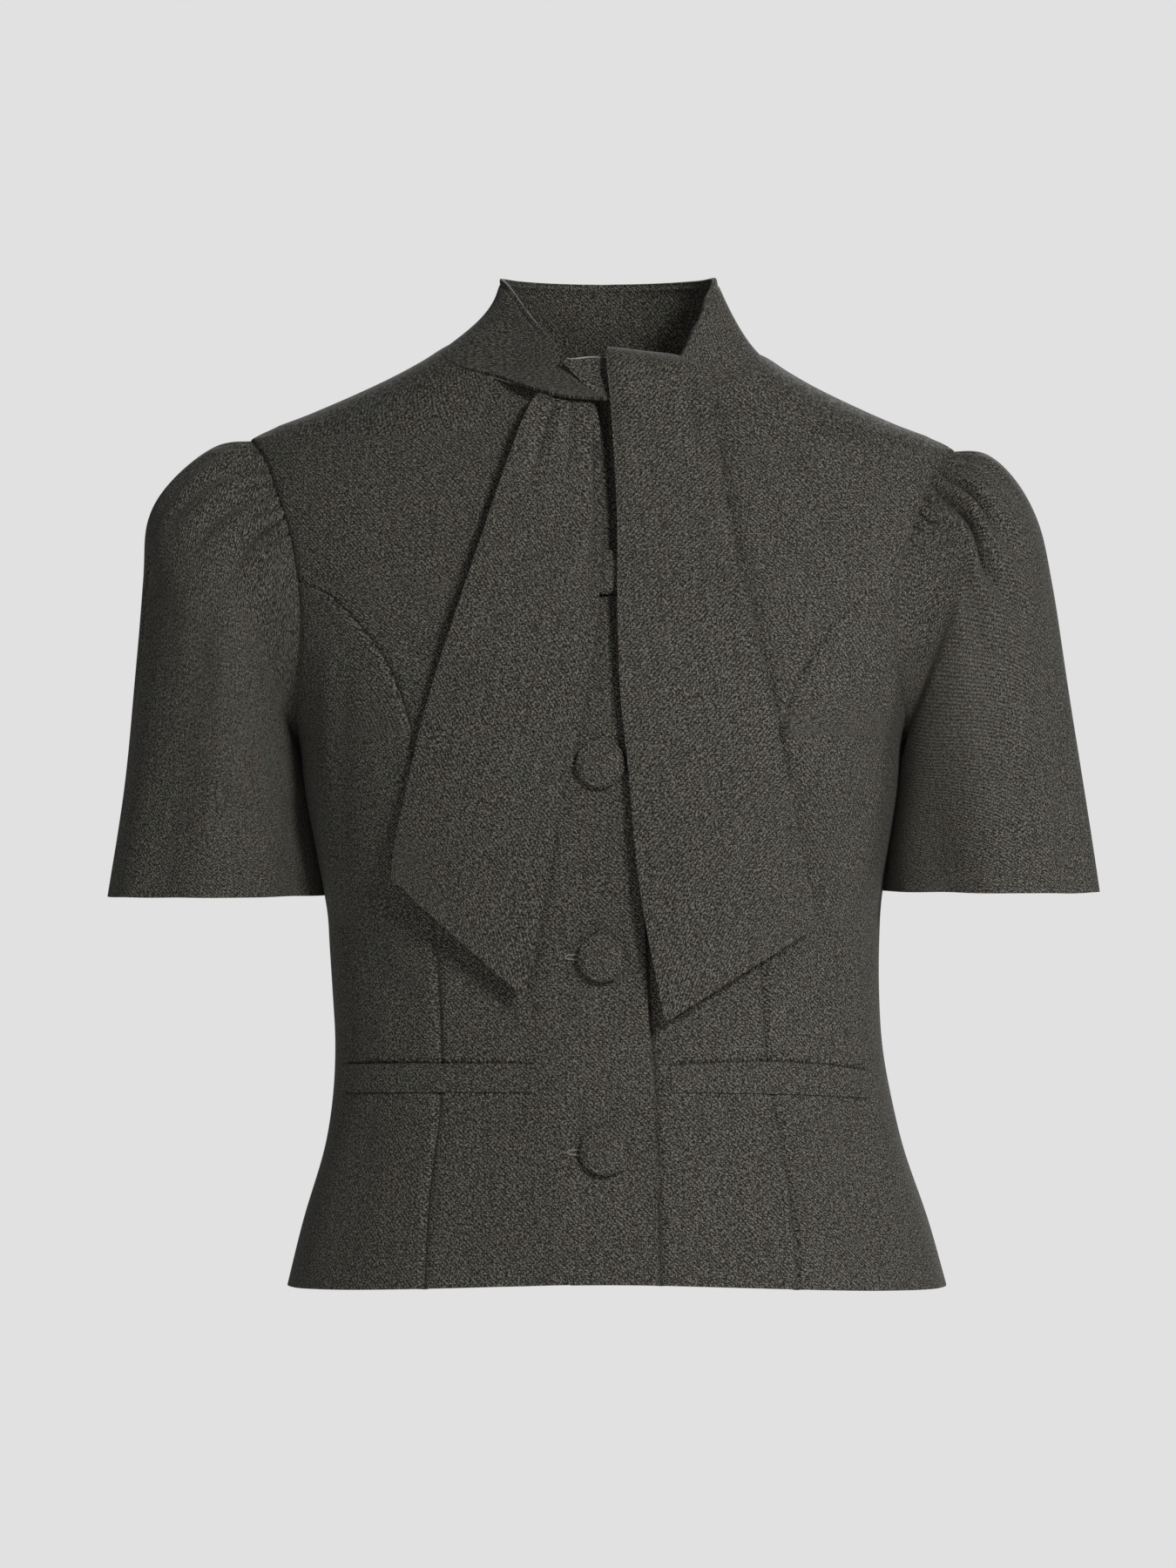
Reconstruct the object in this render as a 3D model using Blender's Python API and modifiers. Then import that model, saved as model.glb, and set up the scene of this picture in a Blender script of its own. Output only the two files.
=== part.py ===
"""A cropped, short-sleeved tie neck blouse, as hollow cloth in its worn form.

The frame is in metres: +Z is up, the front faces -Y and +X is the wearer's left.
The origin is the middle of the neck base, where the wearer's neck and shoulders
carry the garment. Every cloth wall grows outwards from the surface worked out here.
"""

import math

import bmesh
import bpy
from mathutils import Vector

RIGHT, LEFT = -1, 1  # the wearer's sides, as signs of X

# Cloth
PANEL_CLOTH = 0.0016
SLEEVE_CLOTH = 0.0014
COLLAR_CLOTH = 0.0024
TIE_CLOTH = 0.0026
WELT_CLOTH = 0.0014
LINING_CLOTH = 0.0008
SEAM_GAP = 0.0003
LAYER_GAP = 0.0005

# Heights, from the neck base
HEM = -0.484
FRONT_HEM_RISE = 0.0062
HEM_RISE_REACH = 0.12
ARMPIT = -0.200
SHOULDER_TIP = -0.0490
NECK_SIDE = 0.0015
FRONT_NECK_DROP = 0.0300
FRONT_NECK_ROUNDING = 1.2

# The garment hangs a little lower on the wearer's left: drops at the neck line and the slant
SLANT_DROP, SLANT = 0.0019, 0.0030
SLANT_WIDTH, SLANT_FOOT, SLANT_FADE = 0.070, -0.130, 0.070

# Front closure: the wearer's right front lies over the left one
OVERLAP = 0.0240
UNDERLAP = 0.0195
OVERLAP_RAMP_START, OVERLAP_RAMP_END = -0.046, -0.022

# Armholes, as angles away from the shoulder and side seams
ARMHOLE_FRONT_DEPTH = math.radians(24)
ARMHOLE_BACK_DEPTH = math.radians(22)
ARMHOLE_FRONT_SCOOP = 0.25
ARMHOLE_STEPS = 15
PRINCESS_JOIN_STEP = 7  # the princess seam runs into the armhole at this step, from the shoulder
PRINCESS_CURVE_IN = 0.012
SIDE_FRONT_TIP = 0.0015  # how far the side front's tip stays below that join

BUTTON_RADIUS, BUTTON_HEIGHT = 0.0125, 0.0052
BUTTON_DOME = 0.42  # share of its height
BUTTON_FOOT = 0.60  # its radius, and where its side turns in, as shares
BUTTONS = (  # across, height, seat
    (0.0018, -0.1205, 0.0003),
    (0.0009, -0.2141, -0.0004),
    (0.0012, -0.3120, 0.0009),
    (0.0025, -0.4118, 0.0010),
)

WOOL = (0.052, 0.050, 0.044, 1.0)
LINING = (0.25, 0.25, 0.25, 1.0)


class Table:
    """Rows of named columns. A column is read smoothly between rows, along the first one."""

    def __init__(self, columns, rows):
        self.keys = [row[0] for row in rows]
        self.values = {name: [row[i] for row in rows] for i, name in enumerate(columns)}

    def read(self, column, at):
        keys, values = self.keys, self.values[column]
        at = min(max(at, keys[0]), keys[-1])
        i = max(k for k in range(len(keys) - 1) if keys[k] <= at)
        span = keys[i + 1] - keys[i]
        t = (at - keys[i]) / span
        rise = values[i + 1] - values[i]
        before = self._slope(keys, values, i) * span
        after = self._slope(keys, values, i + 1) * span
        return (
            values[i]
            + t * before
            + t * t * (3 * rise - 2 * before - after)
            + t * t * t * (before + after - 2 * rise)
        )

    @staticmethod
    def _slope(keys, values, i):
        low, high = max(i - 1, 0), min(i + 1, len(keys) - 1)
        return (values[high] - values[low]) / (keys[high] - keys[low])


# Outer sections of the body from the hem up: half width at the sides, depth forward and back
# of the side seams, how square each half is (2 is an ellipse), and how far the section leans.
TORSO = Table(
    ("height", "half_width", "front", "back", "front_full", "back_full", "lean"),
    (
        (-0.484, 0.1700, 0.1210, 0.1080, 2.25, 2.20, 0.0050),
        (-0.450, 0.1612, 0.1160, 0.1010, 2.25, 2.20, 0.0045),
        (-0.414, 0.1496, 0.1095, 0.0900, 2.25, 2.20, 0.0035),
        (-0.387, 0.1440, 0.1052, 0.0815, 2.25, 2.20, 0.0025),
        (-0.360, 0.1410, 0.1025, 0.0765, 2.25, 2.20, 0.0010),
        (-0.333, 0.1408, 0.1030, 0.0755, 2.25, 2.20, -0.0005),
        (-0.306, 0.1418, 0.1058, 0.0775, 2.30, 2.20, -0.0015),
        (-0.283, 0.1437, 0.1105, 0.0810, 2.40, 2.20, -0.0020),
        (-0.250, 0.1500, 0.1190, 0.0870, 2.50, 2.20, -0.0020),
        (-0.225, 0.1545, 0.1250, 0.0915, 2.55, 2.20, -0.0020),
        (-0.200, 0.1575, 0.1270, 0.0960, 2.55, 2.25, -0.0020),
        (-0.170, 0.1670, 0.1245, 0.1000, 2.50, 2.30, -0.0020),
        (-0.140, 0.1780, 0.1160, 0.1025, 2.40, 2.30, -0.0022),
        (-0.110, 0.1880, 0.1040, 0.1020, 2.30, 2.25, -0.0024),
        (-0.080, 0.1930, 0.0920, 0.0985, 2.10, 2.08, -0.0025),
        (-0.062, 0.1895, 0.0855, 0.0945, 1.90, 1.88, -0.0025),
        (-0.048, 0.1805, 0.0800, 0.0895, 1.78, 1.72, -0.0025),
        (-0.036, 0.1515, 0.0755, 0.0840, 1.80, 1.75, -0.0022),
        (-0.027, 0.1305, 0.0720, 0.0785, 1.85, 1.80, -0.0018),
        (-0.018, 0.1118, 0.0690, 0.0725, 1.90, 1.90, -0.0014),
        (-0.009, 0.0955, 0.0665, 0.0672, 1.97, 1.97, -0.0010),
        (-0.002, 0.0845, 0.0648, 0.0640, 2.00, 2.00, -0.0006),
        (0.0015, 0.0770, 0.0640, 0.0625, 2.00, 2.00, -0.0005),
    ),
)

# The curved princess seam of each front, as its distance from the centre front.
PRINCESS = Table(
    ("height", "from_centre"),
    (
        (-0.484, 0.0945),
        (-0.438, 0.0915),
        (-0.386, 0.0845),
        (-0.340, 0.0820),
        (-0.300, 0.0825),
        (-0.250, 0.0865),
        (-0.205, 0.0920),
        (-0.181, 0.0986),
        (-0.161, 0.1078),
        (-0.143, 0.1215),
        (-0.127, 0.1385),
        (-0.115, 0.1560),
    ),
)

# Sleeve sections after the armhole: where the outer arm and the underarm lines are at each,
# sideways from the middle of the body, and half the sleeve's depth from front to back.
SLEEVE_COLUMNS = ("section", "outer_x", "outer_z", "inner_x", "inner_z", "half_depth", "middle_y")
SLEEVES = {
    RIGHT: Table(
        SLEEVE_COLUMNS,
        (
            (1, 0.1995, -0.0520, 0.1610, -0.2120, 0.0660, 0.000),
            (2, 0.2210, -0.0685, 0.1592, -0.2220, 0.0725, 0.002),
            (3, 0.2334, -0.0890, 0.1574, -0.2300, 0.0745, 0.003),
            (4, 0.2360, -0.1190, 0.1556, -0.2380, 0.0745, 0.004),
            (5, 0.2392, -0.1600, 0.1534, -0.2480, 0.0725, 0.004),
            (6, 0.2452, -0.2240, 0.1492, -0.2650, 0.0680, 0.003),
            (7, 0.2545, -0.2835, 0.1464, -0.2825, 0.0635, 0.002),
        ),
    ),
    LEFT: Table(
        SLEEVE_COLUMNS,
        (
            (1, 0.1975, -0.0560, 0.1620, -0.2120, 0.0650, 0.000),
            (2, 0.2130, -0.0700, 0.1604, -0.2220, 0.0715, 0.002),
            (3, 0.2245, -0.0920, 0.1588, -0.2300, 0.0740, 0.003),
            (4, 0.2308, -0.1210, 0.1570, -0.2380, 0.0740, 0.004),
            (5, 0.2368, -0.1610, 0.1548, -0.2480, 0.0725, 0.004),
            (6, 0.2458, -0.2240, 0.1510, -0.2640, 0.0680, 0.003),
            (7, 0.2538, -0.2810, 0.1480, -0.2800, 0.0635, 0.002),
        ),
    ),
}
SLEEVE_SECTIONS = 7
SLEEVE_ROWS = (0, 0.12, 0.35, 0.75, 1.3, 2.1, 3.0, 4.0, 5.2, 6.2, 7)
SLEEVE_LEAN = -0.0027

# The middle of the arm's hollow, at the sleeve's head and at its cuff
ARM_HEAD_X, ARM_CUFF_X, ARM_HEAD_DROP = 0.170, 0.201, 0.03

# Gathers of the sleeve heads. Turns run from the top of the armhole, forwards at +.
GATHER_SPAN = math.radians(78)
GATHERS = 14
GATHER_DEPTH = 0.0015
GATHER_REACH = 0.38  # in sections, where a gather is deepest
SLEEVE_FOLDS = {  # turn, width, depth, start, end, sweep, bow
    RIGHT: (
        (math.radians(37), math.radians(6), 0.0025, 0.05, 2.3, math.radians(0), 0.0),
        (math.radians(51), math.radians(6), 0.0025, 0.05, 1.9, math.radians(4), 0.0),
        (math.radians(66), math.radians(6), 0.0020, 0.20, 1.5, math.radians(11), 0.0),
        (math.radians(-35), math.radians(7), 0.0030, 0.05, 1.8, math.radians(-8), 0.0),
    ),
    LEFT: (
        (math.radians(43), math.radians(7), 0.0042, 0.05, 4.3, math.radians(0), math.radians(20)),
        (math.radians(32), math.radians(6), 0.0038, 0.05, 3.3, math.radians(2), math.radians(13)),
        (math.radians(-38), math.radians(8), 0.0035, 0.05, 2.6, math.radians(-12), 0.0),
    ),
}

# The standing collar: outer radius and height of its upper edge, by the angle from the
# centre front, and how far its foot rolls forward of the neckline over the tie.
COLLAR_COLUMNS = ("angle", "edge_radius", "edge_height", "foot_forward", "foot_rise", "hollow")
COLLARS = {
    RIGHT: Table(
        COLLAR_COLUMNS,
        (
            (0, 0.0870, -0.0268, 0.0205, 0.0000, 0.0000),
            (13, 0.0750, -0.0105, 0.0180, 0.0000, 0.0010),
            (26, 0.0640, 0.0029, 0.0135, 0.0012, 0.0025),
            (38, 0.0580, 0.0110, 0.0065, 0.0015, 0.0035),
            (54, 0.0535, 0.0202, 0.0010, 0.0000, 0.0042),
            (72, 0.0535, 0.0305, 0.0000, 0.0000, 0.0052),
            (90, 0.0553, 0.0356, 0.0000, 0.0000, 0.0058),
            (120, 0.0545, 0.0357, 0.0000, 0.0000, 0.0035),
            (180, 0.0545, 0.0355, 0.0000, 0.0000, 0.0020),
        ),
    ),
    LEFT: Table(
        COLLAR_COLUMNS,
        (
            (0, 0.0725, -0.0235, 0.0000, 0.0000, 0.0000),
            (15, 0.0725, -0.0205, 0.0000, 0.0000, 0.0000),
            (26, 0.0725, -0.0165, 0.0000, 0.0000, 0.0005),
            (31, 0.0720, -0.0105, 0.0000, 0.0000, 0.0010),
            (37, 0.0695, -0.0030, 0.0000, 0.0000, 0.0015),
            (44, 0.0660, 0.0062, 0.0000, 0.0000, 0.0025),
            (53, 0.0625, 0.0134, 0.0000, 0.0000, 0.0035),
            (65, 0.0588, 0.0248, 0.0000, 0.0000, 0.0035),
            (90, 0.0568, 0.0350, 0.0000, 0.0000, 0.0028),
            (120, 0.0550, 0.0357, 0.0000, 0.0000, 0.0022),
            (180, 0.0545, 0.0355, 0.0000, 0.0000, 0.0020),
        ),
    ),
}
COLLAR_ENDS = {RIGHT: -3.0, LEFT: 6.0}
COLLAR_INSET = 0.0007  # between the collar's foot and the neckline it stands in
COLLAR_SKEW = {RIGHT: 1.0, LEFT: 0.6}  # where between foot and edge the band curves in most

# The two tie ends from the neck down. Each row is a line of cloth from its edge on the
# wearer's right to its edge on the left. Forward is its depth where it is clear of the
# chest, on_chest how much it follows the chest, and clearance its distance from it.
TIE_COLUMNS = (
    "along",
    "right_x",
    "right_z",
    "left_x",
    "left_z",
    "forward",
    "on_chest",
    "clearance",
)
TIE_OVER = Table(
    TIE_COLUMNS,
    (
        (0.00, 0.0050, -0.0300, 0.0240, -0.0310, 0.0500, 0.0, 0.0),
        (0.04, 0.0040, -0.0150, 0.0270, -0.0185, 0.0510, 0.0, 0.0),
        (0.08, 0.0030, -0.0065, 0.0310, -0.0105, 0.0560, 0.0, 0.0),
        (0.11, 0.0022, -0.0045, 0.0344, -0.0083, 0.0650, 0.0, 0.0),
        (0.14, 0.0020, -0.0056, 0.0378, -0.0104, 0.0756, 0.0, 0.0),
        (0.18, 0.0024, -0.0125, 0.0445, -0.0168, 0.0860, 0.0, 0.0),
        (0.25, 0.0042, -0.0280, 0.0515, -0.0330, 0.0912, 0.0, 0.0080),
        (0.34, 0.0058, -0.0484, 0.0578, -0.0541, 0.0940, 0.4, 0.0090),
        (0.45, 0.0085, -0.0929, 0.0646, -0.0927, 0.1060, 0.9, 0.0085),
        (0.56, 0.0092, -0.1372, 0.0735, -0.1370, 0.1200, 1.0, 0.0075),
        (0.67, 0.0110, -0.1800, 0.0855, -0.1800, 0.1300, 1.0, 0.0050),
        (0.77, 0.0150, -0.2180, 0.0930, -0.2180, 0.1350, 1.0, 0.0040),
        (0.87, 0.0188, -0.2650, 0.0990, -0.2500, 0.1300, 1.0, 0.0055),
        (0.94, 0.0240, -0.3000, 0.1035, -0.2730, 0.1250, 1.0, 0.0080),
        (1.00, 0.0327, -0.3456, 0.1079, -0.2971, 0.1200, 1.0, 0.0095),
    ),
)
TIE_UNDER = Table(
    TIE_COLUMNS,
    (
        (0.00, -0.0250, -0.0215, -0.0160, -0.0215, 0.0680, 0.0, 0.0),
        (0.06, -0.0360, -0.0325, -0.0030, -0.0350, 0.0835, 0.0, 0.0060),
        (0.18, -0.0458, -0.0570, 0.0001, -0.0661, 0.0925, 0.5, 0.0085),
        (0.32, -0.0573, -0.0926, 0.0006, -0.1106, 0.1040, 0.9, 0.0085),
        (0.47, -0.0714, -0.1369, -0.0017, -0.1486, 0.1200, 1.0, 0.0080),
        (0.63, -0.0865, -0.1854, -0.0110, -0.2031, 0.1300, 1.0, 0.0025),
        (0.77, -0.0962, -0.2250, -0.0200, -0.2360, 0.1300, 1.0, 0.0020),
        (0.88, -0.1025, -0.2514, -0.0255, -0.2700, 0.1250, 1.0, 0.0040),
        (0.94, -0.1042, -0.2625, -0.0310, -0.3000, 0.1200, 1.0, 0.0055),
        (1.00, -0.1053, -0.2726, -0.0387, -0.3326, 0.1150, 1.0, 0.0070),
    ),
)
# Folds pressed into a tie end: across (its place), width, depth, fades (where it ends).
TIE_UNDER_FOLDS = ((0.33, 0.09, 0.0040, 0.34), (0.62, 0.10, 0.0030, 0.26))
TIE_OVER_FOLDS = ((0.0, 0.10, 0.0035, 0.55),)
TIE_FOLD_START = 0.04

# Pocket welts: ends across the front, and the heights of both edges at each end.
WELTS = {  # inner_x, outer_x, inner_top, outer_top, arch, depth
    RIGHT: (0.0350, 0.1330, -0.3673, -0.3690, 0.0004, 0.0142),
    LEFT: (0.0335, 0.1320, -0.3682, -0.3723, 0.0028, 0.0134),
}

# The knot core that shows in the neck opening between collar and tie
KNOT_CENTRE = Vector((-0.0020, -0.0652, -0.0170))
KNOT_HALF = Vector((0.0195, 0.0053, 0.0095))
KNOT_TWISTS, KNOT_GROOVE = 3, 0.10

LINING_TOP, LINING_DEPTH, LINING_SPAN = -0.0010, 0.020, math.radians(68)
LINING_GAP = 0.0013

# Mesh steps, across and along each piece
FRONT_STEPS, SIDE_STEPS, BACK_STEPS = 11, 5, 18
LOWER_ROWS, SHOULDER_ROWS = 10, 5
SLEEVE_CAP_STEPS, SLEEVE_UNDER_STEPS = 54, 18
COLLAR_STEPS, COLLAR_ROWS = 50, 4
TIE_STEPS, TIE_ROWS = 8, 26
WELT_STEPS, WELT_ROWS = 14, 2
KNOT_STEPS, KNOT_ROWS = 20, 10
LINING_STEPS, LINING_ROWS = 12, 2
BUTTON_STEPS, BUTTON_RINGS = 20, 5


def smooth(t):
    t = min(max(t, 0.0), 1.0)
    return t * t * (3 - 2 * t)


def mix(a, b, t):
    return a + (b - a) * t


# The body's surface


def slant(x, height):
    fade = smooth((height - SLANT_FOOT) / SLANT_FADE)
    across = 2 * smooth(0.5 + 0.5 * x / SLANT_WIDTH) - 1
    return -(SLANT_DROP + SLANT * across) * fade


def section_radius(angle, height):
    """Radius of the body's inner face. The angle is 0 at the centre front, a quarter turn
    at the side seam and a half turn at the centre back."""
    across, forward = abs(math.sin(angle)), abs(math.cos(angle))
    half = "front" if math.cos(angle) > 0 else "back"
    power = TORSO.read(half + "_full", height)
    width = TORSO.read("half_width", height) - PANEL_CLOTH
    depth = TORSO.read(half, height) - PANEL_CLOTH
    return ((across / width) ** power + (forward / depth) ** power) ** (-1 / power)


def torso(side, angle, height, out=0.0):
    """A point of the body's inner face, or that far out from it along its normal."""
    radius = section_radius(angle, height)
    point = Vector((side * radius * math.sin(angle), -radius * math.cos(angle), height))
    point.x += TORSO.read("lean", height)
    point.z += slant(point.x, height)
    if out:
        point += out * torso_normal(side, angle, height)
    return point


def torso_normal(side, angle, height):
    step_angle, step_height = 0.01, 0.001
    low, high = max(height - step_height, HEM), min(height + step_height, NECK_SIDE)
    up = torso(side, angle, high) - torso(side, angle, low)
    around = torso(side, angle + step_angle, height) - torso(side, angle - step_angle, height)
    return side * around.cross(up).normalized()


def angle_at(from_centre, height):
    """Angle on the front at which the surface is this far from its centre line."""
    low, high = -math.pi / 2, math.pi / 2
    for _ in range(40):
        middle = (low + high) / 2
        if section_radius(middle, height) * math.sin(middle) < from_centre:
            low = middle
        else:
            high = middle
    return (low + high) / 2


# Lines on the body: armholes, neckline, closure


def armhole_height(turn):
    return (SHOULDER_TIP + ARMPIT) / 2 + (SHOULDER_TIP - ARMPIT) / 2 * math.cos(turn)


def armhole_angle(turn):
    """Angle on the body at this turn round the armhole: 0 is its top and + is forwards."""
    if math.sin(turn) >= 0:
        scoop = 1 - ARMHOLE_FRONT_SCOOP * math.cos(turn)
        return math.pi / 2 - ARMHOLE_FRONT_DEPTH * math.sin(turn) * scoop
    return math.pi / 2 - ARMHOLE_BACK_DEPTH * math.sin(turn)


def armhole_turn(height):
    share = (height - (SHOULDER_TIP + ARMPIT) / 2) / ((SHOULDER_TIP - ARMPIT) / 2)
    return math.acos(min(max(share, -1.0), 1.0))


def neckline_height(angle):
    forward = max(math.cos(angle), 0.0)
    return NECK_SIDE - FRONT_NECK_DROP * forward**FRONT_NECK_ROUNDING


def rows_between(start, end, steps):
    return [mix(start, end, i / steps) for i in range(1, steps + 1)]


def lower_heights():
    return [HEM] + rows_between(HEM, ARMPIT, LOWER_ROWS)


def armhole_heights(last_step):
    turns = [math.pi * i / ARMHOLE_STEPS for i in range(ARMHOLE_STEPS - 1, last_step - 1, -1)]
    return [armhole_height(turn) for turn in turns]


def outer_front_angle(height):
    """Outer edge of a centre front panel: princess seam, armhole, then shoulder seam."""
    join = armhole_height(math.pi * PRINCESS_JOIN_STEP / ARMHOLE_STEPS)
    if height < join:
        seam = angle_at(PRINCESS.read("from_centre", height), height)
        return mix(seam, armhole_angle(armhole_turn(join)), smooth((height - join) / PRINCESS_CURVE_IN + 1))
    if height < SHOULDER_TIP:
        return armhole_angle(armhole_turn(height))
    return math.pi / 2


def trimmed(low, high, height):
    """Both angles drawn in by half a seam gap."""
    gap = SEAM_GAP / 2 / section_radius((low + high) / 2, height)
    return low + gap, high - gap


def overlap_lift(side, across):
    """The right front rises over the left one near the closure."""
    if side == LEFT:
        return 0.0
    ramp = (across - OVERLAP_RAMP_START) / (OVERLAP_RAMP_END - OVERLAP_RAMP_START)
    return (PANEL_CLOTH + LAYER_GAP) * smooth(ramp)


def hem_rise(angle, height):
    """The hem is cut a little higher at the front, and the rows above it follow."""
    fade = 1 - smooth((height - HEM) / HEM_RISE_REACH)
    return FRONT_HEM_RISE * max(math.cos(angle), 0.0) ** 2 * fade


def body_point(side, angle, height):
    point = torso(side, angle, height)
    lift = overlap_lift(side, point.x - TORSO.read("lean", height))
    if lift:
        point += lift * torso_normal(side, angle, height)
    point.z += hem_rise(angle, height)
    return point


# Making a wall of cloth


def material(name, colour, roughness):
    made = bpy.data.materials.get(name)
    if made is None:
        made = bpy.data.materials.new(name)
        made.use_nodes = True
        surface = made.node_tree.nodes["Principled BSDF"]
        surface.inputs["Base Color"].default_value = colour
        surface.inputs["Roughness"].default_value = roughness
        surface.inputs["Metallic"].default_value = 0.0
    return made


def face_outwards(bm, inside):
    """Turns the sheet's faces round if, in all, they look towards the inside."""
    bm.normal_update()
    facing = sum(
        face.normal.dot(face.calc_center_median() - inside(face.calc_center_median()))
        * face.calc_area()
        for face in bm.faces
    )
    if facing < 0:
        bmesh.ops.reverse_faces(bm, faces=bm.faces)


def new_object(name, mesh, finish):
    made = bpy.data.objects.new(name, mesh)
    mesh.materials.append(finish)
    mesh.shade_smooth()
    bpy.data.collections["tie_neck_blouse"].objects.link(made)
    return made


def cloth(name, across, along, place, thickness, inside, closed=False, finish=None):
    """A wall of cloth over place(u, v), u and v from 0 to 1, grown outwards from it."""
    bm = bmesh.new()
    bmesh.ops.create_grid(bm, x_segments=across, y_segments=along, size=0.5)
    for vert in bm.verts:
        vert.co = place(vert.co.x + 0.5, vert.co.y + 0.5)
    if closed:
        bmesh.ops.remove_doubles(bm, verts=bm.verts, dist=1e-5)
    face_outwards(bm, inside)
    mesh = bpy.data.meshes.new(name)
    bm.to_mesh(mesh)
    bm.free()
    made = new_object(name, mesh, finish or material("wool_suiting", WOOL, 0.85))
    wall = made.modifiers.new("wall", "SOLIDIFY")
    wall.thickness = thickness
    wall.offset = 1.0
    return made


def body_axis(point):
    return Vector((0.0, 0.0, point.z))


def behind(point):
    return point + Vector((0.0, 1.0, 0.0))


def between(values, share):
    """Value of an evenly stepped list at a share of its length."""
    place = share * (len(values) - 1)
    i = min(int(place), len(values) - 2)
    return mix(values[i], values[i + 1], place - i)


# Panels


def front(side, name):
    reach = OVERLAP if side == RIGHT else UNDERLAP
    heights = lower_heights() + armhole_heights(0)
    rows = len(heights) - 1 + SHOULDER_ROWS

    def level_angle(u, height):
        low, high = trimmed(angle_at(-reach, height), outer_front_angle(height), height)
        return mix(low, high, u)

    def place(u, v):
        row = v * rows
        if row <= len(heights) - 1:
            height = between(heights, row / (len(heights) - 1))
            return body_point(side, level_angle(u, height), height)
        up = (row - len(heights) + 1) / SHOULDER_ROWS
        top_angle = level_angle(u, neckline_height(0.0))
        angle = mix(level_angle(u, SHOULDER_TIP), top_angle, up)
        return body_point(side, angle, mix(SHOULDER_TIP, neckline_height(top_angle), up))

    return cloth(name, FRONT_STEPS, rows, place, PANEL_CLOTH, body_axis)


def side_front(side, name):
    heights = lower_heights() + armhole_heights(PRINCESS_JOIN_STEP)
    heights[-1] -= SIDE_FRONT_TIP

    def place(u, v):
        height = between(heights, v)
        armhole = armhole_angle(armhole_turn(height)) if height > ARMPIT else math.pi / 2
        low, high = trimmed(outer_front_angle(height), armhole, height)
        return body_point(side, mix(low, high, u), height)

    return cloth(name, SIDE_STEPS, len(heights) - 1, place, PANEL_CLOTH, body_axis)


def back_edge_angle(height):
    """Side seam, armhole, then shoulder seam, as the back panel's edge."""
    if ARMPIT < height < SHOULDER_TIP:
        return armhole_angle(-armhole_turn(height))
    return math.pi / 2


def back(name):
    heights = (
        lower_heights()
        + armhole_heights(0)
        + rows_between(SHOULDER_TIP, NECK_SIDE, SHOULDER_ROWS)
    )

    def place(u, v):
        height = between(heights, v)
        edge, _ = trimmed(back_edge_angle(height), math.pi, height)
        side = LEFT if u > 0.5 else RIGHT
        return body_point(side, mix(math.pi, edge, abs(2 * u - 1)), height)

    return cloth(name, BACK_STEPS, len(heights) - 1, place, PANEL_CLOTH, body_axis)


# Collar


def collar_point(side, angle, up):
    """The band's inner face, up = 0 at its foot and 1 at its edge."""
    table = COLLARS[side]
    degrees = math.degrees(angle)
    outward = Vector((side * math.sin(angle), -math.cos(angle), 0.0))
    foot = torso(side, angle, neckline_height(angle))
    foot += (table.read("foot_forward", degrees) - COLLAR_INSET - COLLAR_CLOTH) * outward
    foot.z += table.read("foot_rise", degrees)
    edge = (table.read("edge_radius", degrees) - COLLAR_CLOTH) * outward
    edge.z = table.read("edge_height", degrees)
    hollow = table.read("hollow", degrees) * math.sin(math.pi * up ** COLLAR_SKEW[side])
    return mix(foot, edge, up) - hollow * outward


def collar(name):
    ends = {side: 180 - end for side, end in COLLAR_ENDS.items()}

    def place(u, v):
        from_back = mix(-ends[RIGHT], ends[LEFT], u)
        side = LEFT if from_back > 0 else RIGHT
        return collar_point(side, math.radians(180 - abs(from_back)), v)

    return cloth(name, COLLAR_STEPS, COLLAR_ROWS, place, COLLAR_CLOTH, body_axis)


def neck_lining(name):
    """The strip of lining that shows inside, below the back of the collar."""

    def place(u, v):
        angle = math.pi - LINING_SPAN * abs(2 * u - 1)
        side = LEFT if u > 0.5 else RIGHT
        height = mix(LINING_TOP - LINING_DEPTH, LINING_TOP, v)
        return torso(side, angle, height, -LINING_CLOTH - LINING_GAP)

    lining = material("lining", LINING, 0.5)
    return cloth(
        name, LINING_STEPS, LINING_ROWS, place, LINING_CLOTH, body_axis, finish=lining
    )


# Ties


def chest_depth(x, height):
    """Depth forward of the closed front's outer face at this place."""
    height = max(min(height, neckline_height(0.0)), HEM)
    across = x - TORSO.read("lean", height)
    side = LEFT if across > 0 else RIGHT
    angle = angle_at(abs(across), height)
    return -torso(side, angle, height, 2 * PANEL_CLOTH + LAYER_GAP).y


def tie_folds(folds, u, v):
    """How far the folds draw the cloth back at this place."""
    total = 0.0
    for across, width, depth, fades in folds:
        profile = math.exp(-(((u - across) / width) ** 2))
        total += depth * profile * smooth((fades - v) / fades) * smooth(v / TIE_FOLD_START)
    return total


def tie(name, table, folds):
    def place(u, v):
        x = mix(table.read("right_x", v), table.read("left_x", v), u)
        z = mix(table.read("right_z", v), table.read("left_z", v), u)
        free = table.read("forward", v)
        share = min(max(table.read("on_chest", v), 0.0), 1.0)
        draped = chest_depth(x, z) + table.read("clearance", v) if share else free
        depth = mix(free, draped, share)
        return Vector((x, -(depth - tie_folds(folds, u, v)), z))

    return cloth(name, TIE_STEPS, TIE_ROWS, place, TIE_CLOTH, behind)


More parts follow.
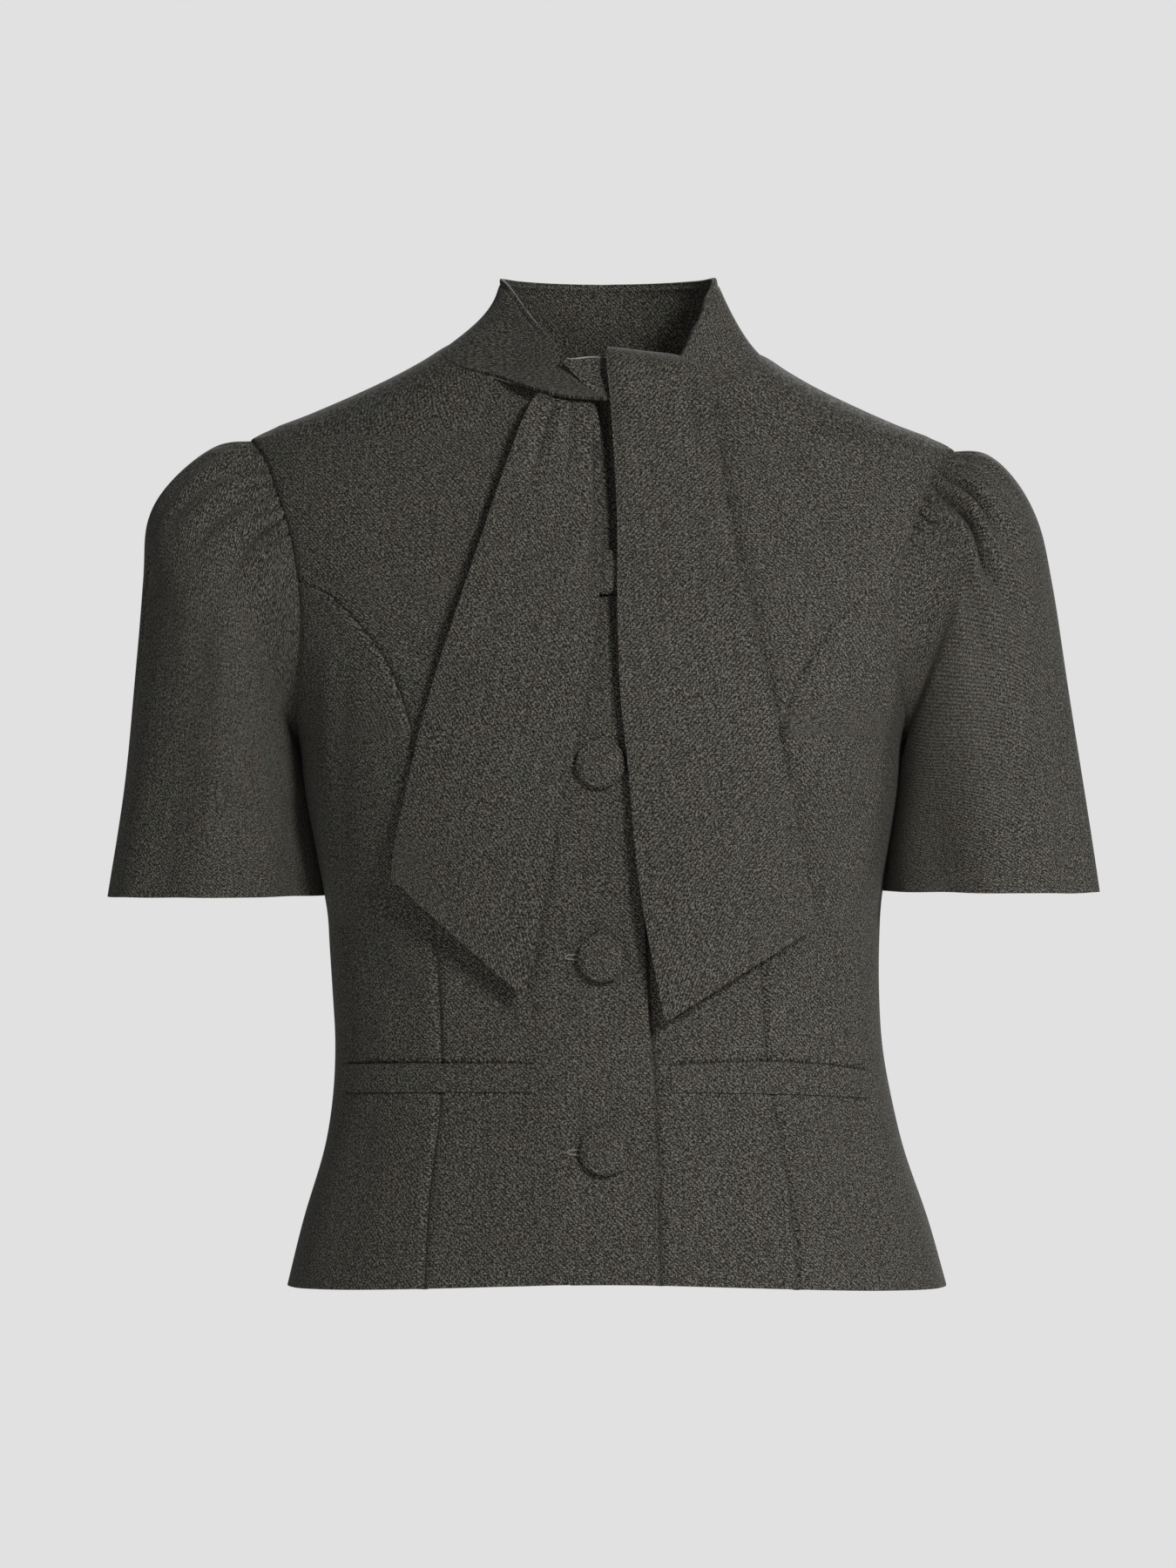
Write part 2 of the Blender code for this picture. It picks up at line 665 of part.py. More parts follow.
def tie_knot(name):
    """The small twisted roll of cloth in the opening, a squashed ball with spiral grooves."""
    bm = bmesh.new()
    bmesh.ops.create_uvsphere(bm, u_segments=KNOT_STEPS, v_segments=KNOT_ROWS, radius=1.0)
    for vert in bm.verts:
        along = vert.co.z
        turn = math.atan2(vert.co.y, vert.co.x)
        groove = 1 - KNOT_GROOVE * (0.5 + 0.5 * math.sin(2 * turn + KNOT_TWISTS * along))
        vert.co = KNOT_CENTRE + Vector(
            (
                along * KNOT_HALF.x,
                vert.co.x * KNOT_HALF.y * groove,
                vert.co.y * KNOT_HALF.z * groove,
            )
        )
    face_outwards(bm, lambda point: KNOT_CENTRE)
    mesh = bpy.data.meshes.new(name)
    bm.to_mesh(mesh)
    bm.free()
    return new_object(name, mesh, material("wool_suiting", WOOL, 0.85))


# Sleeves


def sleeve_section(side, index, turn):
    """A point of the sleeve's section: the armhole itself, then ellipses down the arm."""
    if index == 0:
        under = SLEEVE_CLOTH * (1 - math.cos(turn)) / 2
        out = PANEL_CLOTH + LAYER_GAP + under
        return torso(side, armhole_angle(turn), armhole_height(turn), out)
    read = SLEEVES[side].read
    outer = Vector((side * read("outer_x", index) + SLEEVE_LEAN, 0.0, read("outer_z", index)))
    inner = Vector((side * read("inner_x", index) + SLEEVE_LEAN, 0.0, read("inner_z", index)))
    point = (outer + inner) / 2 + math.cos(turn) * (outer - inner) / 2
    point.y = read("middle_y", index) - read("half_depth", index) * math.sin(turn)
    return point


def sleeve_surface(side, along, turn):
    """A smooth line down the sleeve through its sections, at this turn."""
    i = min(int(along), SLEEVE_SECTIONS - 1)
    t = along - i
    here, there = sleeve_section(side, i, turn), sleeve_section(side, i + 1, turn)
    before = sleeve_section(side, i - 1, turn) if i else here
    after = sleeve_section(side, i + 2, turn) if i + 2 <= SLEEVE_SECTIONS else there
    tangent = (there - before) * (0.5 if i else 1.0)
    next_tangent = (after - here) * (0.5 if i + 2 <= SLEEVE_SECTIONS else 1.0)
    rise = there - here
    return (
        here
        + t * tangent
        + t * t * (3 * rise - 2 * tangent - next_tangent)
        + t * t * t * (tangent + next_tangent - 2 * rise)
    )


def sleeve_normal(side, along, turn):
    step_along, step_turn = 0.02, 0.02
    low, high = max(along - step_along, 0.0), min(along + step_along, SLEEVE_SECTIONS)
    down = sleeve_surface(side, high, turn) - sleeve_surface(side, low, turn)
    around = sleeve_surface(side, along, turn + step_turn) - sleeve_surface(
        side, along, turn - step_turn
    )
    return side * around.cross(down).normalized()


def gather_height(along, turn):
    """The small ripples that fan out from the gathered head."""
    if abs(turn) > GATHER_SPAN:
        return 0.0
    reach = along / GATHER_REACH
    fade = reach * math.exp(1 - reach)
    edge = math.cos(turn / GATHER_SPAN * math.pi / 2) ** 0.5
    wave = math.cos(GATHERS * math.pi * turn / GATHER_SPAN)
    return GATHER_DEPTH * fade * edge * wave


def sleeve_fold_height(side, along, turn):
    """The larger troughs that run down from the head."""
    total = 0.0
    for centre, width, depth, start, end, sweep, bow in SLEEVE_FOLDS[side]:
        share = (along - start) / (end - start)
        if 0 < share < 1:
            middle = centre + sweep * share + bow * math.sin(math.pi * share)
            wide = width * (0.6 + 0.8 * share)
            profile = math.exp(-(((turn - middle) / wide) ** 2))
            total -= depth * profile * math.sin(math.pi * share**0.6)
    return total


def sleeve_turn(u):
    """Turns are close together over the gathered head and wider under the arm."""
    steps = SLEEVE_CAP_STEPS + SLEEVE_UNDER_STEPS
    place = u * steps
    if place <= SLEEVE_CAP_STEPS:
        return mix(-GATHER_SPAN, GATHER_SPAN, place / SLEEVE_CAP_STEPS)
    share = (place - SLEEVE_CAP_STEPS) / SLEEVE_UNDER_STEPS
    return mix(GATHER_SPAN, 2 * math.pi - GATHER_SPAN, share)


def sleeve(side, name):
    def place(u, v):
        turn = sleeve_turn(u)
        along = between(SLEEVE_ROWS, v)
        near = turn if turn <= math.pi else turn - 2 * math.pi
        lift = gather_height(along, near) + sleeve_fold_height(side, along, near)
        point = sleeve_surface(side, along, turn)
        return point + lift * sleeve_normal(side, along, turn) if lift else point

    def arm_axis(point):
        read = SLEEVES[side].read
        head, cuff = read("outer_z", 1), read("outer_z", SLEEVE_SECTIONS)
        down = (point.z - head) / (cuff - head)
        x = side * mix(ARM_HEAD_X, ARM_CUFF_X, down)
        return Vector((x, 0.0, point.z - ARM_HEAD_DROP * (1 - down)))

    steps = SLEEVE_CAP_STEPS + SLEEVE_UNDER_STEPS
    return cloth(
        name, steps, len(SLEEVE_ROWS) - 1, place, SLEEVE_CLOTH, arm_axis, closed=True
    )


# Welts and buttons


def pocket_welt(side, name):
    inner_x, outer_x, inner_top, outer_top, arch, depth = WELTS[side]

    def place(u, v):
        top = mix(inner_top, outer_top, u * u) + arch * math.sin(math.pi * u)
        bottom = mix(inner_top, outer_top, u * u) - depth
        height = mix(bottom, top, v)
        low, high = angle_at(inner_x, height), angle_at(outer_x, height)
        angle = mix(low, high, u)
        lift = overlap_lift(side, side * section_radius(angle, height) * math.sin(angle))
        return torso(side, angle, height, PANEL_CLOTH + LAYER_GAP + lift)

    return cloth(name, WELT_STEPS, WELT_ROWS, place, WELT_CLOTH, body_axis)


def button(name, across, height, seat):
    """A cloth-covered dome button, turned from its profile and seated on the right front."""
    domed = BUTTON_HEIGHT * BUTTON_DOME
    rim = BUTTON_HEIGHT - domed
    profile = []
    for i in range(BUTTON_RINGS + 1):
        turn = math.pi / 2 * i / BUTTON_RINGS
        profile.append((BUTTON_RADIUS * math.sin(turn), rim + domed * math.cos(turn)))
    profile += [(BUTTON_RADIUS, rim * BUTTON_FOOT), (BUTTON_RADIUS * BUTTON_FOOT, 0.0), (0.0, 0.0)]
    bm = bmesh.new()
    verts = [bm.verts.new((across, 0.0, up)) for across, up in profile]
    for first, second in zip(verts, verts[1:]):
        bm.edges.new((first, second))
    mesh = bpy.data.meshes.new(name)
    bm.to_mesh(mesh)
    bm.free()
    made = new_object(name, mesh, material("wool_suiting", WOOL, 0.85))
    turned = made.modifiers.new("turned", "SCREW")
    turned.steps = turned.render_steps = BUTTON_STEPS
    turned.use_merge_vertices = True
    turned.merge_threshold = 0.00005
    angle = angle_at(across - TORSO.read("lean", height), height)
    made.location = torso(LEFT, angle, height, 2 * PANEL_CLOTH + LAYER_GAP + seat)
    made.rotation_euler = torso_normal(LEFT, angle, height).to_track_quat("Z", "Y").to_euler()
    return made


def main():
    for old in list(bpy.data.objects):
        bpy.data.objects.remove(old)
    parts = bpy.data.collections.new("tie_neck_blouse")
    bpy.context.scene.collection.children.link(parts)

    front(RIGHT, "front_right")
    front(LEFT, "front_left")
    side_front(RIGHT, "side_front_right")
    side_front(LEFT, "side_front_left")
    back("back")
    collar("collar")
    neck_lining("neck_lining")
    sleeve(RIGHT, "sleeve_right")
    sleeve(LEFT, "sleeve_left")
    tie("tie_under", TIE_UNDER, TIE_UNDER_FOLDS)
    tie("tie_over", TIE_OVER, TIE_OVER_FOLDS)
    tie_knot("tie_knot")
    pocket_welt(RIGHT, "pocket_welt_right")
    pocket_welt(LEFT, "pocket_welt_left")
    for number, (across, height, seat) in enumerate(BUTTONS, start=1):
        button(f"button_{number}", across, height, seat)


main()
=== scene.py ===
"""The finished look of a cropped, short-sleeved tie neck blouse in charcoal melange suiting.

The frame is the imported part's, in metres: +Z is up, the front faces -Y and +X is the
wearer's left. Each cloth piece is drawn again over the same surface as its solid, finely
enough for its gathers, folds, creases, seams and turned edges.
"""

import functools
import math

import bmesh
import bpy
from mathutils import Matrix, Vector, noise


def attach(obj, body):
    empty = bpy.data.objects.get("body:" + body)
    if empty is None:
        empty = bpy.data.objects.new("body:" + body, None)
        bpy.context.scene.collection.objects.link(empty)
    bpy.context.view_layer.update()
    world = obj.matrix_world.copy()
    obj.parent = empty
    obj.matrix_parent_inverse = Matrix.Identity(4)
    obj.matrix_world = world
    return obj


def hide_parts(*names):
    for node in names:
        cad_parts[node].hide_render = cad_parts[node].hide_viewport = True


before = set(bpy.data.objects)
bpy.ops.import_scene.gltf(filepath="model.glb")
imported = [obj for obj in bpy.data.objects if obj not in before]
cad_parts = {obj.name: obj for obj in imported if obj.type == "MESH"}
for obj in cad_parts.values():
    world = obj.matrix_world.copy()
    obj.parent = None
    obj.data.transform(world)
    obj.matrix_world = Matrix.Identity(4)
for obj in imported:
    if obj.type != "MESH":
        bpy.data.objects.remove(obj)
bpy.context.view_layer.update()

RIGHT, LEFT = -1, 1  # the wearer's sides, as signs of X

# Cloth
PANEL_CLOTH = 0.0016
SLEEVE_CLOTH = 0.0014
COLLAR_CLOTH = 0.0024
TIE_CLOTH = 0.0026
WELT_CLOTH = 0.0014
LINING_CLOTH = 0.0008
KNOT_CLOTH = 0.0016
LAYER_GAP = 0.0005

# Heights, from the neck base
HEM = -0.484
FRONT_HEM_RISE = 0.0062
HEM_RISE_REACH = 0.12
ARMPIT = -0.200
SHOULDER_TIP = -0.0490
NECK_SIDE = 0.0015
FRONT_NECK_DROP = 0.0300
FRONT_NECK_ROUNDING = 1.2

# The garment hangs a little lower on the wearer's left: drops at the neck line and the slant
SLANT_DROP, SLANT = 0.0019, 0.0030
SLANT_WIDTH, SLANT_FOOT, SLANT_FADE = 0.070, -0.130, 0.070

# Front closure: the wearer's right front lies over the left one
OVERLAP = 0.0240
UNDERLAP = 0.0195
OVERLAP_RAMP_START, OVERLAP_RAMP_END = -0.046, -0.022
EDGE_SINK, EDGE_SINK_WIDTH = 0.0022, 0.0014  # the left front sinks along the right one's edge

# Armholes, as angles away from the shoulder and side seams
ARMHOLE_FRONT_DEPTH = math.radians(24)
ARMHOLE_BACK_DEPTH = math.radians(22)
ARMHOLE_FRONT_SCOOP = 0.25
PRINCESS_JOIN = math.pi * 7 / 15  # turn from the shoulder at which the princess seam joins
PRINCESS_CURVE_IN = 0.012
SIDE_FRONT_TIP = 0.0015  # how far the side front's tip stays below that join

# How closely pieces are drawn: distances of the first lines from an edge, then the step
EDGE_LINES = (0.0, 0.0004, 0.0009, 0.0015, 0.0023, 0.0034, 0.0050)
PANEL_STEP = 0.0024
BACK_STEP = 0.0030
SLEEVE_STEP = 0.0022
COLLAR_STEP = 0.0018
TIE_STEP = 0.0017
WELT_STEP = 0.0016
WELT_ZONE, WELT_ZONE_STEP = (-0.392, -0.364), 0.0006

# A seam draws the cloth in beside it, and its pressed allowance lifts it a little further off
SEAM_DEPTH, SEAM_WIDTH = 0.0022, 0.0018
ALLOWANCE_LIFT, ALLOWANCE_PLACE, ALLOWANCE_WIDTH = 0.00018, 0.0055, 0.0035

BUTTON_RADIUS, BUTTON_HEIGHT = 0.0125, 0.0052
BUTTON_RIM = 0.58  # height at which the dome starts, as a share of the button's height
BUTTON_FLATNESS = 0.8
# Its underside, as shares of its radius and of the height at which the dome starts
BUTTON_UNDERSIDE = ((0.985, 0.55), (0.90, 0.15), (0.60, 0.0), (0.0, 0.0))
BUTTON_STEPS, BUTTON_RINGS = 64, 14

# About how large the pieces are, for the spacing of their lines
FRONT_WIDTH, SIDE_FRONT_WIDTH, BACK_WIDTH, SHOULDER_LENGTH = 0.115, 0.060, 0.40, 0.075
COLLAR_HEIGHT, COLLAR_LENGTH = 0.042, 0.36
TIE_WIDTH, TIE_LENGTH = 0.080, 0.36
SLEEVE_LENGTH, SLEEVE_SECTION_LENGTH = 0.205, 0.062
ARMHOLE_CLOSER, SHOULDER_CLOSER = 1.3, 1.4  # as the cloth is longer there than it is tall
SLEEVE_HEAD = math.radians(80)  # turns from the top of the armhole that are drawn closely
HEAD_TURN, UNDER_TURN = math.radians(0.85), math.radians(2.2)
SEAM_LINES, SEAM_LINE_GROWTH = 16, 0.0032  # first lines of a sleeve, in sections down it


def curve_between(here, there, before, after, t):
    """A smooth run from here to there, with this slope before it and that one after it."""
    rise = there - here
    bend = 3 * rise - 2 * before - after
    return here + t * before + t * t * bend + t * t * t * (before + after - 2 * rise)


class Table:
    """Rows of named columns. A column is read smoothly between rows, along the first one."""

    def __init__(self, columns, rows):
        self.keys = [row[0] for row in rows]
        self.values = {name: [row[i] for row in rows] for i, name in enumerate(columns)}

    def read(self, column, at):
        keys, values = self.keys, self.values[column]
        at = min(max(at, keys[0]), keys[-1])
        i = max(k for k in range(len(keys) - 1) if keys[k] <= at)
        span = keys[i + 1] - keys[i]
        before = self._slope(keys, values, i) * span
        after = self._slope(keys, values, i + 1) * span
        return curve_between(values[i], values[i + 1], before, after, (at - keys[i]) / span)

    @staticmethod
    def _slope(keys, values, i):
        low, high = max(i - 1, 0), min(i + 1, len(keys) - 1)
        return (values[high] - values[low]) / (keys[high] - keys[low])


# Outer sections of the body from the hem up: half width at the sides, depth forward and back
# of the side seams, how square each half is (2 is an ellipse), and how far the section leans.
TORSO = Table(
    ("height", "half_width", "front", "back", "front_full", "back_full", "lean"),
    (
        (-0.484, 0.1700, 0.1210, 0.1080, 2.25, 2.20, 0.0050),
        (-0.450, 0.1612, 0.1160, 0.1010, 2.25, 2.20, 0.0045),
        (-0.414, 0.1496, 0.1095, 0.0900, 2.25, 2.20, 0.0035),
        (-0.387, 0.1440, 0.1052, 0.0815, 2.25, 2.20, 0.0025),
        (-0.360, 0.1410, 0.1025, 0.0765, 2.25, 2.20, 0.0010),
        (-0.333, 0.1408, 0.1030, 0.0755, 2.25, 2.20, -0.0005),
        (-0.306, 0.1418, 0.1058, 0.0775, 2.30, 2.20, -0.0015),
        (-0.283, 0.1437, 0.1105, 0.0810, 2.40, 2.20, -0.0020),
        (-0.250, 0.1500, 0.1190, 0.0870, 2.50, 2.20, -0.0020),
        (-0.225, 0.1545, 0.1250, 0.0915, 2.55, 2.20, -0.0020),
        (-0.200, 0.1575, 0.1270, 0.0960, 2.55, 2.25, -0.0020),
        (-0.170, 0.1670, 0.1245, 0.1000, 2.50, 2.30, -0.0020),
        (-0.140, 0.1780, 0.1160, 0.1025, 2.40, 2.30, -0.0022),
        (-0.110, 0.1880, 0.1040, 0.1020, 2.30, 2.25, -0.0024),
        (-0.080, 0.1930, 0.0920, 0.0985, 2.10, 2.08, -0.0025),
        (-0.062, 0.1895, 0.0855, 0.0945, 1.90, 1.88, -0.0025),
        (-0.048, 0.1805, 0.0800, 0.0895, 1.78, 1.72, -0.0025),
        (-0.036, 0.1515, 0.0755, 0.0840, 1.80, 1.75, -0.0022),
        (-0.027, 0.1305, 0.0720, 0.0785, 1.85, 1.80, -0.0018),
        (-0.018, 0.1118, 0.0690, 0.0725, 1.90, 1.90, -0.0014),
        (-0.009, 0.0955, 0.0665, 0.0672, 1.97, 1.97, -0.0010),
        (-0.002, 0.0845, 0.0648, 0.0640, 2.00, 2.00, -0.0006),
        (0.0015, 0.0770, 0.0640, 0.0625, 2.00, 2.00, -0.0005),
    ),
)

# The curved princess seam of each front, as its distance from the centre front.
PRINCESS = Table(
    ("height", "from_centre"),
    (
        (-0.484, 0.0945),
        (-0.438, 0.0915),
        (-0.386, 0.0845),
        (-0.340, 0.0820),
        (-0.300, 0.0825),
        (-0.250, 0.0865),
        (-0.205, 0.0920),
        (-0.181, 0.0986),
        (-0.161, 0.1078),
        (-0.143, 0.1215),
        (-0.127, 0.1385),
        (-0.115, 0.1560),
    ),
)

# Sleeve sections after the armhole: where the outer arm and the underarm lines are at each,
# sideways from the middle of the body, and half the sleeve's depth from front to back.
SLEEVE_COLUMNS = ("section", "outer_x", "outer_z", "inner_x", "inner_z", "half_depth", "middle_y")
SLEEVES = {
    RIGHT: Table(
        SLEEVE_COLUMNS,
        (
            (1, 0.1995, -0.0520, 0.1610, -0.2120, 0.0660, 0.000),
            (2, 0.2210, -0.0685, 0.1592, -0.2220, 0.0725, 0.002),
            (3, 0.2334, -0.0890, 0.1574, -0.2300, 0.0745, 0.003),
            (4, 0.2360, -0.1190, 0.1556, -0.2380, 0.0745, 0.004),
            (5, 0.2392, -0.1600, 0.1534, -0.2480, 0.0725, 0.004),
            (6, 0.2452, -0.2240, 0.1492, -0.2650, 0.0680, 0.003),
            (7, 0.2545, -0.2835, 0.1464, -0.2825, 0.0635, 0.002),
        ),
    ),
    LEFT: Table(
        SLEEVE_COLUMNS,
        (
            (1, 0.1975, -0.0560, 0.1620, -0.2120, 0.0650, 0.000),
            (2, 0.2130, -0.0700, 0.1604, -0.2220, 0.0715, 0.002),
            (3, 0.2245, -0.0920, 0.1588, -0.2300, 0.0740, 0.003),
            (4, 0.2308, -0.1210, 0.1570, -0.2380, 0.0740, 0.004),
            (5, 0.2368, -0.1610, 0.1548, -0.2480, 0.0725, 0.004),
            (6, 0.2458, -0.2240, 0.1510, -0.2640, 0.0680, 0.003),
            (7, 0.2538, -0.2810, 0.1480, -0.2800, 0.0635, 0.002),
        ),
    ),
}
SLEEVE_SECTIONS = 7
SLEEVE_SET_IN = 0.65  # how deep in the armhole's seam it starts, as a share of the seam's depth
# The lower the sharpness, the nearer to its start a fold is deepest
GATHER_SHARPNESS, FOLD_SHARPNESS = 0.35, 0.6
FOLD_START_WIDTH, FOLD_WIDENING = 0.6, 0.9  # as shares of the fold's width
SLEEVE_LEAN = -0.0027
# How far the sleeve's inner side presses against the body, section by section
SLEEVE_PRESS = (0.0, 0.0066, 0.0082, 0.0084, 0.0078, 0.0066, 0.0044, 0.0018)

# Slow waves round the cuff: how many, their height and which way they are turned
CUFF_WAVES = ((5, 0.0016, 1), (9, 0.0008, -1))
CUFF_WAVES_START = CUFF_WAVES_GROW = 3.5  # in sections down the sleeve
ARM_HEAD_X, ARM_CUFF_X, ARM_HEAD_DROP = 0.170, 0.201, 0.03  # a line inside the sleeve

# Creases of the gathered sleeve heads: turn, width, depth, start, end, sweep and bow. Turns
# run from the top of the armhole, forwards at +, and are in degrees. A crease runs from start
# to end, in sections down the sleeve, turns by sweep and bends by bow between its ends.
GATHERS = {
    RIGHT: (
        (3, 1.4, 0.0022, 0.0, 0.8, -1, 0),
        (11, 1.5, 0.0028, 0.0, 1.0, -1, 0),
        (18, 1.4, 0.0031, 0.0, 0.8, -1, 0),
        (25, 1.4, 0.0037, 0.0, 1.1, -3, 0),
        (32, 1.4, 0.0043, 0.0, 0.9, -4, 0),
        (40, 1.5, 0.0056, 0.0, 1.2, 2, -3),
        (47, 1.4, 0.0056, 0.0, 1.0, 2, -2),
        (52, 1.2, 0.0047, 0.0, 0.7, 3, 0),
        (57, 1.3, 0.0053, 0.0, 0.8, 4, 0),
        (62, 1.5, 0.0065, 0.0, 1.1, 15, -2),
        (69, 1.3, 0.0025, 0.0, 0.5, 3, 0),
        (-5, 1.5, 0.0028, 0.0, 1.0, 1, 0),
        (-13, 1.4, 0.0034, 0.0, 0.9, -2, 0),
        (-20, 1.5, 0.0043, 0.0, 1.2, -2, 0),
        (-29, 1.6, 0.0047, 0.0, 1.0, -4, 2),
        (-38, 1.4, 0.0043, 0.0, 1.2, -3, 0),
        (-46, 1.5, 0.0047, 0.0, 0.9, -6, 0),
        (-56, 1.5, 0.0031, 0.0, 0.8, -5, 0),
    ),
    LEFT: (
        (3, 1.6, 0.0019, 0.0, 0.7, 0, 0),
        (11, 1.5, 0.0024, 0.0, 1.0, 1, 0),
        (19, 1.6, 0.0030, 0.0, 0.8, 1, 0),
        (26, 1.4, 0.0035, 0.0, 0.9, 3, 0),
        (37, 1.4, 0.0035, 0.0, 0.6, 2, 0),
        (49, 1.4, 0.0038, 0.0, 0.6, 5, 0),
        (56, 1.5, 0.0049, 0.0, 0.6, 8, 0),
        (63, 1.4, 0.0022, 0.0, 0.4, 3, 0),
        (-6, 1.6, 0.0024, 0.0, 0.9, 1, 0),
        (-14, 1.6, 0.0035, 0.0, 1.1, -2, 0),
        (-23, 1.5, 0.0032, 0.0, 0.8, -3, 0),
        (-31, 1.7, 0.0041, 0.0, 1.3, -4, 2),
        (-47, 1.6, 0.0035, 0.0, 0.9, -6, 0),
        (-57, 1.5, 0.0024, 0.0, 0.7, -4, 0),
    ),
}
# The longer troughs below them, with the same columns
SLEEVE_FOLDS = {
    RIGHT: (
        (37, 4.2, 0.0052, 0.05, 2.8, 0, -2),
        (50, 4.0, 0.0050, 0.05, 2.2, 4, 2),
        (66, 5.0, 0.0030, 0.15, 1.7, 13, 0),
        (26, 3.6, 0.0024, 3.3, 5.8, -10, 0),
        (20, 7.0, 0.0020, 1.0, 3.6, 5, 0),
        (80, 9.0, 0.0022, 1.6, 6.6, -8, 0),
        (-36, 6.0, 0.0036, 0.05, 2.4, -8, 3),
        (-18, 5.0, 0.0026, 0.10, 2.0, -3, 0),
        (-70, 9.0, 0.0024, 1.2, 6.0, 10, 0),
    ),
    LEFT: (
        (42, 4.2, 0.0068, 0.02, 4.6, -2, 22),
        (31, 3.8, 0.0058, 0.02, 3.6, 2, 15),
        (18, 4.5, 0.0022, 0.10, 2.6, 4, 2),
        (78, 9.0, 0.0022, 1.5, 6.0, 4, 0),
        (-38, 6.0, 0.0048, 0.05, 3.0, -10, 4),
        (-20, 5.0, 0.0028, 0.10, 2.2, -3, 0),
        (-72, 9.0, 0.0024, 1.4, 6.2, 8, 0),
    ),
}
SHOULDER_SPREAD, SHOULDER_SHARE = 2.4, 0.30  # the soft ridges beside a trough

# The standing collar: outer radius and height of its upper edge, by the angle from the
# centre front, and how far its foot rolls forward of the neckline over the tie.
COLLAR_COLUMNS = ("angle", "edge_radius", "edge_height", "foot_forward", "foot_rise", "hollow")
COLLARS = {
    RIGHT: Table(
        COLLAR_COLUMNS,
        (
            (0, 0.0870, -0.0268, 0.0205, 0.0000, 0.0000),
            (13, 0.0750, -0.0105, 0.0180, 0.0000, 0.0010),
            (26, 0.0640, 0.0029, 0.0135, 0.0012, 0.0025),
            (38, 0.0580, 0.0110, 0.0065, 0.0015, 0.0035),
            (54, 0.0535, 0.0202, 0.0010, 0.0000, 0.0042),
            (72, 0.0535, 0.0305, 0.0000, 0.0000, 0.0052),
            (90, 0.0553, 0.0356, 0.0000, 0.0000, 0.0058),
            (120, 0.0545, 0.0357, 0.0000, 0.0000, 0.0035),
            (180, 0.0545, 0.0355, 0.0000, 0.0000, 0.0020),
        ),
    ),
    LEFT: Table(
        COLLAR_COLUMNS,
        (
            (0, 0.0725, -0.0235, 0.0000, 0.0000, 0.0000),
            (15, 0.0725, -0.0205, 0.0000, 0.0000, 0.0000),
            (26, 0.0725, -0.0165, 0.0000, 0.0000, 0.0005),
            (31, 0.0720, -0.0105, 0.0000, 0.0000, 0.0010),
            (37, 0.0695, -0.0030, 0.0000, 0.0000, 0.0015),
            (44, 0.0660, 0.0062, 0.0000, 0.0000, 0.0025),
            (53, 0.0625, 0.0134, 0.0000, 0.0000, 0.0035),
            (65, 0.0588, 0.0248, 0.0000, 0.0000, 0.0035),
            (90, 0.0568, 0.0350, 0.0000, 0.0000, 0.0028),
            (120, 0.0550, 0.0357, 0.0000, 0.0000, 0.0022),
            (180, 0.0545, 0.0355, 0.0000, 0.0000, 0.0020),
        ),
    ),
}
COLLAR_ENDS = {RIGHT: -3.0, LEFT: 6.0}
COLLAR_INSET = 0.0007  # between the collar's foot and the neckline it stands in
FOOT_SPREAD, FOOT_SINK = 0.0036, 0.0012  # how its seam covers the neckline's edge
FOOT_CLEAR = 0.004  # no seam shows where the foot rolls this far forward
COLLAR_SKEW = {RIGHT: 1.0, LEFT: 0.6}  # where between foot and edge the band curves in most
ROLLED_EDGE, ROLLED_GROOVE = 0.0034, 0.0012  # the band's rolled edge and the groove below it

# The two tie ends from the neck down. Each row is a line of cloth from its edge on the
# wearer's right to its edge on the left. Forward is its depth where it is clear of the
# chest, on_chest how much it follows the chest, and clearance its distance from it.
TIE_COLUMNS = (
    "along",
    "right_x",
    "right_z",
    "left_x",
    "left_z",
    "forward",
    "on_chest",
    "clearance",
)
TIE_OVER = Table(
    TIE_COLUMNS,
    (
        (0.00, 0.0050, -0.0300, 0.0240, -0.0310, 0.0500, 0.0, 0.0),
        (0.04, 0.0040, -0.0150, 0.0270, -0.0185, 0.0510, 0.0, 0.0),
        (0.08, 0.0030, -0.0065, 0.0310, -0.0105, 0.0560, 0.0, 0.0),
        (0.11, 0.0022, -0.0045, 0.0344, -0.0083, 0.0650, 0.0, 0.0),
        (0.14, 0.0020, -0.0056, 0.0412, -0.0106, 0.0756, 0.0, 0.0),
        (0.18, 0.0024, -0.0125, 0.0485, -0.0162, 0.0860, 0.0, 0.0),
        (0.25, 0.0042, -0.0280, 0.0542, -0.0326, 0.0912, 0.0, 0.0080),
        (0.34, 0.0058, -0.0484, 0.0590, -0.0541, 0.0940, 0.4, 0.0090),
        (0.45, 0.0085, -0.0929, 0.0646, -0.0927, 0.1060, 0.9, 0.0085),
        (0.56, 0.0092, -0.1372, 0.0735, -0.1370, 0.1200, 1.0, 0.0075),
        (0.67, 0.0110, -0.1800, 0.0855, -0.1800, 0.1300, 1.0, 0.0050),
        (0.77, 0.0150, -0.2180, 0.0930, -0.2180, 0.1350, 1.0, 0.0040),
        (0.87, 0.0188, -0.2650, 0.0990, -0.2500, 0.1300, 1.0, 0.0055),
        (0.94, 0.0240, -0.3000, 0.1035, -0.2730, 0.1250, 1.0, 0.0080),
        (1.00, 0.0327, -0.3456, 0.1079, -0.2971, 0.1200, 1.0, 0.0095),
    ),
)
